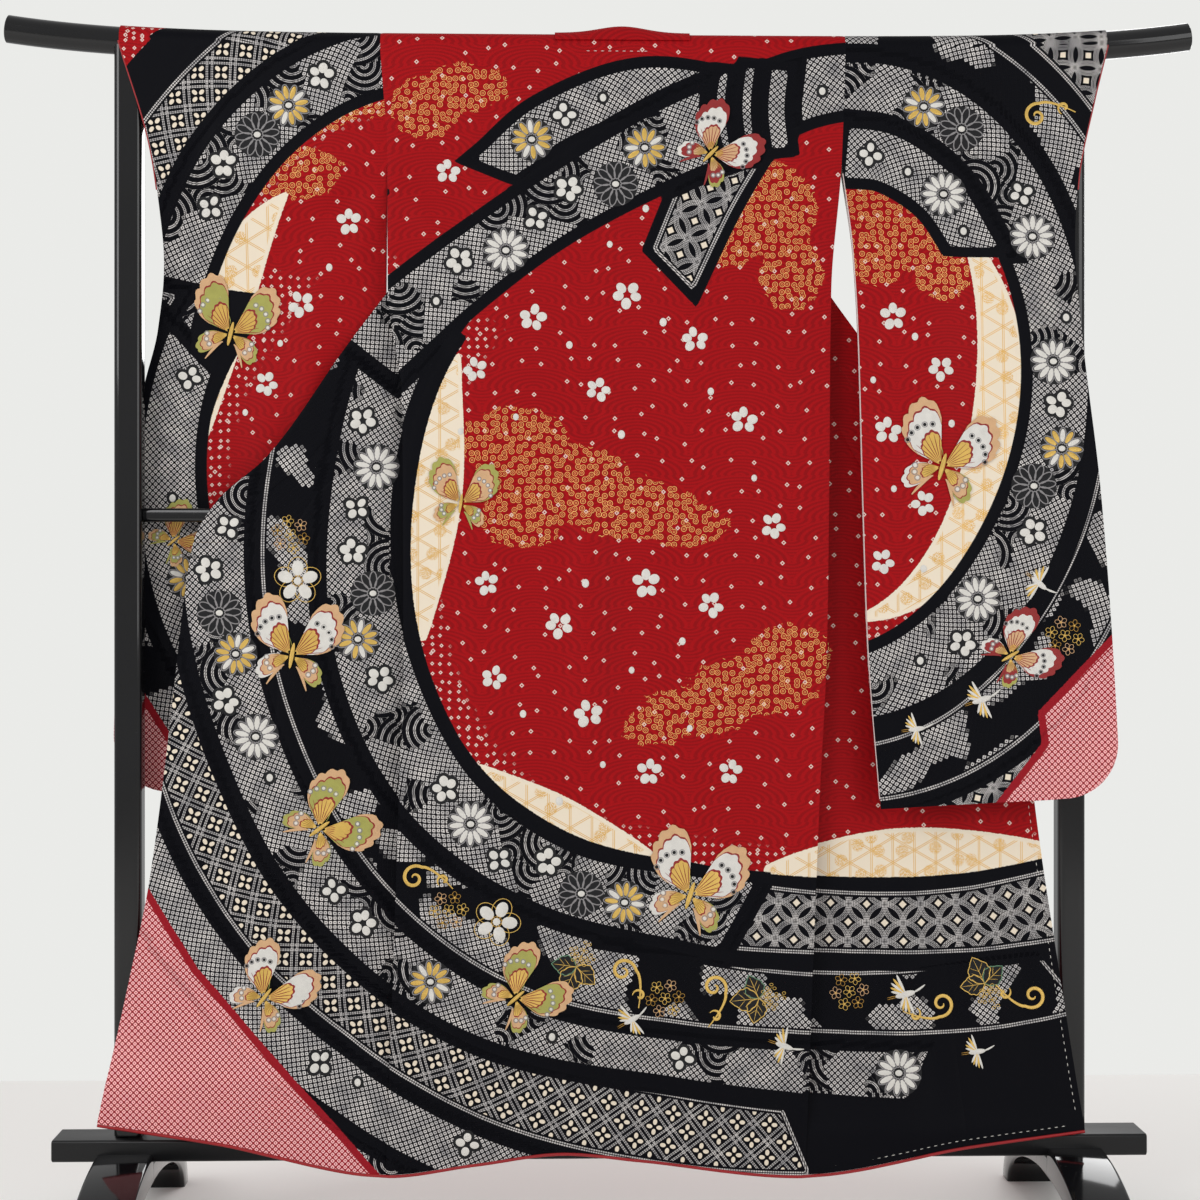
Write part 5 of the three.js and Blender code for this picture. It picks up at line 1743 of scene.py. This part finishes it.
def tube(name, line, radius, slot, material, sides, rounded_ends=True):
    """A round rod along a line of points, with its ends eased."""
    line = np.asarray(line, float)
    along = np.gradient(line, axis=0)
    along /= np.linalg.norm(along, axis=1, keepdims=True)
    aside = np.cross(along, (0, 1, 0.02))
    aside /= np.linalg.norm(aside, axis=1, keepdims=True)
    third = np.cross(along, aside)
    angle = np.linspace(0, 2 * math.pi, sides, endpoint=False)
    around = np.cos(angle)[None, :, None] * aside[:, None] + np.sin(angle)[None, :, None] * third[:, None]
    rows = line[:, None] + radius * around
    if rounded_ends:
        ease = min(3.0, radius * 0.8)
        first = line[0] + radius * around[0] * (1 - ease / radius * 0.6)
        last = line[-1] + radius * around[-1] * (1 - ease / radius * 0.6)
        rows = np.concatenate([first[None], (rows[0] + along[0] * ease * 0.5)[None], rows[1:-1],
                               (rows[-1] - along[-1] * ease * 0.5)[None], last[None]])
    return closed_mesh(name, rows, slot, material)


def lacquer_material(name, roughness, coat):
    """Black lacquer, with the faint unevenness of its brushing and a little dust."""
    material = plain_material(name, LACQUER, roughness)
    tree = material.node_tree
    shader = tree.nodes["Principled BSDF"]
    shader.inputs["Coat Weight"].default_value = coat
    shader.inputs["Coat Roughness"].default_value = 0.06
    shader.inputs["Specular IOR Level"].default_value = 0.3
    where = tree.nodes.new("ShaderNodeTexCoord").outputs["Object"]
    wavy = noise(tree, where, 7, 3)
    dust = noise(tree, where, 420, 2).above(0.72, 0.05)
    tree.links.new(mix(tree, dust * 0.06, mix(tree, wavy, LACQUER, (0.006, 0.006, 0.007)), (0.2, 0.2, 0.2)),
                   shader.inputs["Base Color"])
    join(tree, wavy * 0.10 + dust * 0.1 + (roughness - 0.05), shader.inputs["Roughness"])
    return material


def woven_material(name, colour, dark, roughness):
    """Plain silk of one dye, with the unevenness of its weave."""
    material = plain_material(name, colour, roughness)
    tree = material.node_tree
    shader = tree.nodes["Principled BSDF"]
    where = tree.nodes.new("ShaderNodeTexCoord").outputs["Object"]
    weave = noise(tree, where, 1100, 1)
    tone = weave * 0.5 + noise(tree, where, 25, 2) * 0.4
    tree.links.new(mix(tree, tone, dark, colour), shader.inputs["Base Color"])
    bump(tree, weave, 0.4, 0.0003)
    return material


def lining_material():
    """Plain-woven lining: white, and red in the lower part that shows when the garment moves."""
    material = plain_material("lining", (0.7, 0.68, 0.64), 0.62)
    tree = material.node_tree
    shader = tree.nodes["Principled BSDF"]
    place = attribute(tree, "place")
    _, z, _ = separate(tree, place)
    weave = noise(tree, place, 900, 1)
    red_part = (z + (noise(tree, place, 3, 1) - 0.5) * 0.004).below(0.78, 0.0006)
    white = mix(tree, weave * 0.25, (0.72, 0.69, 0.66), (0.55, 0.52, 0.50))
    red = mix(tree, weave * 0.3, (0.34, 0.006, 0.010), (0.22, 0.004, 0.006))
    tree.links.new(mix(tree, red_part, white, red), shader.inputs["Base Color"])
    bump(tree, weave, 0.3, 0.0003)
    return material


POST = {"offset": 657.0, "width": 38.0, "corner": 8.0, "seat": 8.0}
MIDDLE_RAIL = {"height": 995.0, "tall": 19.0, "deep": 16.0, "corner": 5.0}
BEAM = {"bottom": 104.0, "tall": 30.0, "deep": 70.0, "half_length": 758.0, "corner": 4.0}
FOOT = {"width": 78.0, "outer": (260.0, 116.0), "inner": (222.0, 74.0), "corner": 5.0}


def make_foot(name, x, material):
    """An arched foot with a notch in its top that the beam lies in."""
    notch = BEAM["deep"] / 2 + SEAM_GAP
    notch_turn = math.acos(notch / FOOT["outer"][0])
    beside, within = np.linspace(0, notch_turn - 1e-4, 26), np.linspace(notch_turn + 1e-4, math.pi / 2, 5)
    half = np.concatenate([beside, within])
    turns = np.concatenate([half, math.pi - half[-2::-1]])
    rows = []
    for way in turns:
        outer, inner = (np.array(FOOT[arch]) * (math.cos(way), math.sin(way)) for arch in ("outer", "inner"))
        if abs(outer[0]) < notch:
            outer[1] = min(outer[1], BEAM["bottom"] - SEAM_GAP)
        tall = np.linalg.norm(outer - inner)
        section = rounded_rectangle(FOOT["width"], tall, min(FOOT["corner"], tall * 0.3), 3)
        share = section[:, 1] / tall + 0.5
        spot = inner + (outer - inner) * share[:, None]
        rows.append(np.column_stack([x + section[:, 0], spot]))
    return closed_mesh(name, np.array(rows), "lacquer_gloss", material, sharp_angle=32)


def make_post(name, x, material):
    """An upright post whose top is hollowed for the rail."""
    outline = rounded_rectangle(POST["width"], POST["width"], POST["corner"])
    fine = np.concatenate([
        np.linspace(a, b, 8, endpoint=False) if np.linalg.norm(b - a) > 5 else a[None]
        for a, b in zip(outline, np.roll(outline, -1, 0))
    ])
    bottom = BEAM["bottom"] + BEAM["tall"] + SEAM_GAP
    hollow = RAIL["radius"] + SEAM_GAP
    top = rail_height(x + fine[:, 0]) - np.sqrt(np.maximum(hollow**2 - fine[:, 1] ** 2, 0))
    top = np.minimum(top, rail_height(x) - POST["seat"])
    seat = rail_height(x) - hollow
    rows = [
        np.column_stack([x + fine[:, 0] * share, fine[:, 1] * share, np.broadcast_to(z, len(fine))])
        for z, share in ((bottom, 0.94), (bottom + 1.2, 1.0), (900.0, 1.0), (top, 1.0), (seat, 0.02))
    ]
    return closed_mesh(name, np.array(rows), "lacquer_gloss", material, sharp_angle=32)


def make_stand():
    gloss = lacquer_material("gloss_lacquer", 0.10, 0.3)
    satin = lacquer_material("satin_lacquer", 0.34, 0.0)
    x = RAIL["half_length"] * np.sin(np.linspace(-0.5, 0.5, 61) * math.pi)
    line = np.column_stack([x, 0 * x, rail_height(x)])
    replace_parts(tube("lacquer_top_rail", line, RAIL["radius"], "lacquer_gloss", gloss, 32), "top_rail")
    for name, at in (("left", -POST["offset"]), ("right", POST["offset"])):
        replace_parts(make_post(f"lacquer_post_{name}", at, gloss), f"post_{name}")
        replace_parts(make_foot(f"lacquer_foot_{name}", at, gloss), f"foot_{name}")
    reach = POST["offset"] - POST["width"] / 2 - SEAM_GAP
    section = rounded_rectangle(MIDDLE_RAIL["deep"], MIDDLE_RAIL["tall"], MIDDLE_RAIL["corner"])
    middle = (0, 0, MIDDLE_RAIL["height"])
    piece = bar("lacquer_middle_rail", section, 0, -reach, reach, middle, "lacquer_gloss", gloss, 0.6)
    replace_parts(piece, "middle_rail")
    section = rounded_rectangle(BEAM["deep"], BEAM["tall"], BEAM["corner"])
    middle = (0, 0, BEAM["bottom"] + BEAM["tall"] / 2)
    piece = bar("lacquer_bottom_beam", section, 0, -BEAM["half_length"], BEAM["half_length"], middle,
                "lacquer_satin", satin)
    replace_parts(piece, "bottom_beam")


HEM_ROLL = {"radius": 2.2, "in_from_seam": 6.0}


def hem_roll_line():
    """The middle of the rolled hem, round the left front, the back and the right front."""
    drop = np.array([0, 0, -HEM_ROLL["radius"] - SEAM_GAP])
    angle, level = np.full((1, 1), np.nan), np.full((1, 1), HEM_LEVEL)
    fronts = []
    for side in (LEFT, RIGHT):
        whole = float(front_widths(side, np.full(1, HEM_LEVEL))["whole"][0])
        distance = lerp(SEAM_LAP + HEM_ROLL["in_from_seam"], whole, np.linspace(1, 0.06, 70))[None, :]
        fronts.append(front_points(side, distance, angle, level, 0.0)[0][0] + drop)
    start = read(LEFT["side_seam"], "x", HEM_LEVEL) + HEM_ROLL["in_from_seam"]
    end = read(RIGHT["side_seam"], "x", HEM_LEVEL) - HEM_ROLL["in_from_seam"]
    x = np.linspace(start, end, 110)
    z = hem_height(x)
    back = np.column_stack([x, back_depth(x, z), z]) + drop
    return np.concatenate([fronts[0], back, fronts[1][::-1]])


def sleeve_edge_line(sleeve, layer, edge, top, bottom, outside):
    """A line down an edge of a sleeve's layer (0 its inner edge, 1 its outer one), moved off its middle."""
    level = np.linspace(top, bottom, 90)
    inner, outer = sleeve_outline(sleeve, level, layer)
    x = lerp(inner, outer, float(edge))
    fallen = (RAIL["height"] - level) / (RAIL["height"] - sleeve["bottom"])
    z = level + (rail_height(x) - RAIL["height"]) * (1 - fallen) + sleeve["bottom_rise"] * edge * fallen
    near, far = sleeve_depths(sleeve, np.full(level.shape, float(edge)), x, level)
    outward = sleeve["side"]["outward"] * (1 if edge else -1)
    return np.column_stack([x + outward * outside, near if layer == NEAR else far, z])


PIPING = {"bottom": 1440, "outside": 0.7, "radius": 1.1}
INNER_EDGE = {"top": 1470, "outside": 0.5, "behind": 0.5, "radius": 0.8}


def make_edges():
    """The padded roll of the hem, piping at the cuffs, and the sleeves' inner edges."""
    red = woven_material("red_edge", (0.44, 0.008, 0.013), (0.20, 0.003, 0.005), 0.5)
    roll = tube("hem_roll_fine", hem_roll_line(), HEM_ROLL["radius"], "silk_edge", red, 10, False)
    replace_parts(roll, "hem_roll")
    made = {"roll": roll}
    white = woven_material("edge_lining", (0.80, 0.66, 0.64), (0.58, 0.46, 0.45), 0.6)
    for sleeve in (LEFT_SLEEVE, RIGHT_SLEEVE):
        name = sleeve["side"]["name"]
        for layer, word in ((NEAR, "back"), (FAR, "front")):
            line = sleeve_edge_line(sleeve, layer, 1, RAIL["height"] - 4, PIPING["bottom"], PIPING["outside"])
            made[name, word] = tube(f"cuff_piping_{name}_{word}", line, PIPING["radius"], "silk_edge", red, 8)
        line = sleeve_edge_line(sleeve, NEAR, 0, INNER_EDGE["top"], sleeve["bottom"] + 14, INNER_EDGE["outside"])
        line = line + (0, INNER_EDGE["behind"], 0)
        slot, cloth = ("silk_lining", white) if sleeve is RIGHT_SLEEVE else ("silk_edge", red)
        made[name, "inner"] = tube(f"sleeve_lining_edge_{name}", line, INNER_EDGE["radius"], slot, cloth, 8)
    return made


STITCH = {"length": 4.5, "gap": 5.5, "width": 0.9, "inset": 9.0}


def stitch_line(points):
    """Running stitches along some places, each a small raised line of its own."""
    points = np.array(points, float)
    legs = np.linalg.norm(np.diff(points, axis=0), axis=1)
    way = np.concatenate([[0], np.cumsum(legs)])
    for start in np.arange(0, way[-1] - STITCH["length"], STITCH["length"] + STITCH["gap"]):
        ends = np.linspace(start, start + STITCH["length"], 4)
        places = np.column_stack([np.interp(ends, way, points[:, i]) for i in (0, 1)])
        motif = Motif()
        motif.line(places, STITCH["width"], "white", 0.1)
        yield motif


# ------------------------------------------------------------------ the garment

silk = silk_material()
lining = lining_material()
THREAD_MATERIALS = [thread_material(name) for name in THREADS]
make_stand()
edges = make_edges()


def spans(points):
    """A grid's widest row and longest column, in metres."""
    across = np.linalg.norm(np.diff(points, axis=1), axis=2).sum(1).max()
    down = np.linalg.norm(np.diff(points, axis=0), axis=2).sum(0).max()
    return across * MM, down * MM


def flat_area(points, is_there):
    """Area of a grid's cells, in square metres."""
    first = np.cross(points[1:, 1:] - points[:-1, :-1], points[1:, :-1] - points[:-1, 1:])
    cells = np.linalg.norm(first, axis=2) / 2
    return float((cells if is_there is None else cells[is_there]).sum()) * MM**2


def sew(node, surface, slot, zone, outside=NEAR):
    """Makes a cut piece of the garment in place of its solid, dyes it and works out the size it was cut to."""
    points, flat, *rest = surface
    is_there = rest[0] if rest else None
    piece = cloth_piece(f"silk_{node}", points, flat, slot, [silk, lining], outside, is_there)
    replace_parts(piece, node)
    dye(piece, zone)
    width, length = spans(points)
    area = min(flat_area(points, is_there), width * length)


body_embroidery = embroider("embroidery_body", "body", NEAR)
for side in (LEFT, RIGHT):
    name = side["name"]
    on_it = [body_embroidery, edges["roll"]] if side is LEFT else []
    sew(f"back_{name}", back_surface(side), "silk_red", "body")
    sew(f"front_{name}", front_surface(side), "silk_black", "body")
    sew(f"gore_{name}", gore_surface(side), "silk_black", "body")
    sew(f"collar_{name}", collar_surface(side), "silk_black", "body")
sew("collar_neck", neck_surface(), "silk_red", "body")
for sleeve in (LEFT_SLEEVE, RIGHT_SLEEVE):
    name = sleeve["side"]["name"]
    for layer, word in ((NEAR, "back"), (FAR, "front")):
        stitched = embroider(f"embroidery_sleeve_{name}_{word}", f"sleeve_{name}", layer)
        on_it = [stitched, edges[name, word]] + ([edges[name, "inner"]] if layer == NEAR else [])
        surface = sleeve_surface(sleeve, layer)
        sew(f"sleeve_{name}_{word}", surface, "silk_red", f"sleeve_{name}", layer)

# ------------------------------------------------------------------ stage, light and camera

PHOTO = {"width": 1200, "focal": 2174, "principal": 600, "stand_middle": 602}  # in the frame's pixels
CAMERA = {"distance": 3040.0, "height": 877.0, "azimuth": -1.5, "sensor": 36.0}


def make_camera():
    data = bpy.data.cameras.new("camera")
    data.sensor_width = CAMERA["sensor"]
    data.lens = CAMERA["sensor"] * PHOTO["focal"] / PHOTO["width"]
    camera = bpy.data.objects.new("camera", data)
    azimuth = math.radians(CAMERA["azimuth"])
    aside = (PHOTO["principal"] - PHOTO["stand_middle"]) * CAMERA["distance"] / PHOTO["focal"]
    camera.location = (
        (CAMERA["distance"] * math.sin(azimuth) + aside * math.cos(azimuth)) * MM,
        (-CAMERA["distance"] * math.cos(azimuth) + aside * math.sin(azimuth)) * MM,
        CAMERA["height"] * MM,
    )
    camera.rotation_euler = (math.pi / 2, 0, azimuth)
    bpy.context.scene.collection.objects.link(camera)
    bpy.context.scene.camera = camera


def make_stage():
    """A pale floor that ends a little behind the stand, against the pale surroundings."""
    half, near, far = 6.0, -7.0, 0.95
    mesh = bpy.data.meshes.new("floor")
    mesh.from_pydata([(-half, near, 0), (half, near, 0), (half, far, 0), (-half, far, 0)], [], [(0, 1, 2, 3)])
    mesh.materials.append(plain_material("pale_floor", (0.93, 0.915, 0.89), 0.85))
    floor = bpy.data.objects.new("floor", mesh)
    bpy.context.scene.collection.objects.link(floor)


def add_light(name, place, size, power):
    """A light that is aimed at the middle of the garment."""
    data = bpy.data.lights.new(name, "AREA")
    data.shape = "RECTANGLE"
    data.size, data.size_y = size
    data.energy = power
    light = bpy.data.objects.new(name, data)
    light.visible_camera = False
    light.location = place
    x, y, z = np.subtract((0, 0, 0.9), place)
    light.rotation_euler = (math.atan2(math.hypot(x, y), -z), 0, math.atan2(y, x) - math.pi / 2)
    bpy.context.scene.collection.objects.link(light)


# Colour and strength of the surroundings: as a light, and as the camera sees them.
SURROUNDINGS = (((1, 1, 0.995), 0.52), ((0.995, 1, 0.975), 0.83))


LIGHTS = (  # name, place, size and power
    ("key", (-3.0, -2.9, 2.7), (2.4, 2.4), 82),
    ("fill", (2.8, -3.2, 1.9), (2.4, 2.4), 44),
    ("far_side", (1.2, 3.6, 2.6), (2.6, 2.0), 68),
)


def make_lights():
    for light in LIGHTS:
        add_light(*light)
    world = bpy.data.worlds.new("studio")
    world.use_nodes = True
    tree = world.node_tree
    choice = tree.nodes.new("ShaderNodeMixShader")
    path = tree.nodes.new("ShaderNodeLightPath")
    tree.links.new(path.outputs["Is Camera Ray"], choice.inputs[0])
    for plug, (colour, strength) in zip(choice.inputs[1:], SURROUNDINGS):
        background = tree.nodes.new("ShaderNodeBackground")
        background.inputs["Color"].default_value = (*colour, 1)
        background.inputs["Strength"].default_value = strength
        tree.links.new(background.outputs[0], plug)
    tree.links.new(choice.outputs[0], tree.nodes["World Output"].inputs["Surface"])
    bpy.context.scene.world = world


make_camera()
make_stage()
make_lights()
bpy.context.scene.view_settings.view_transform = "Standard"
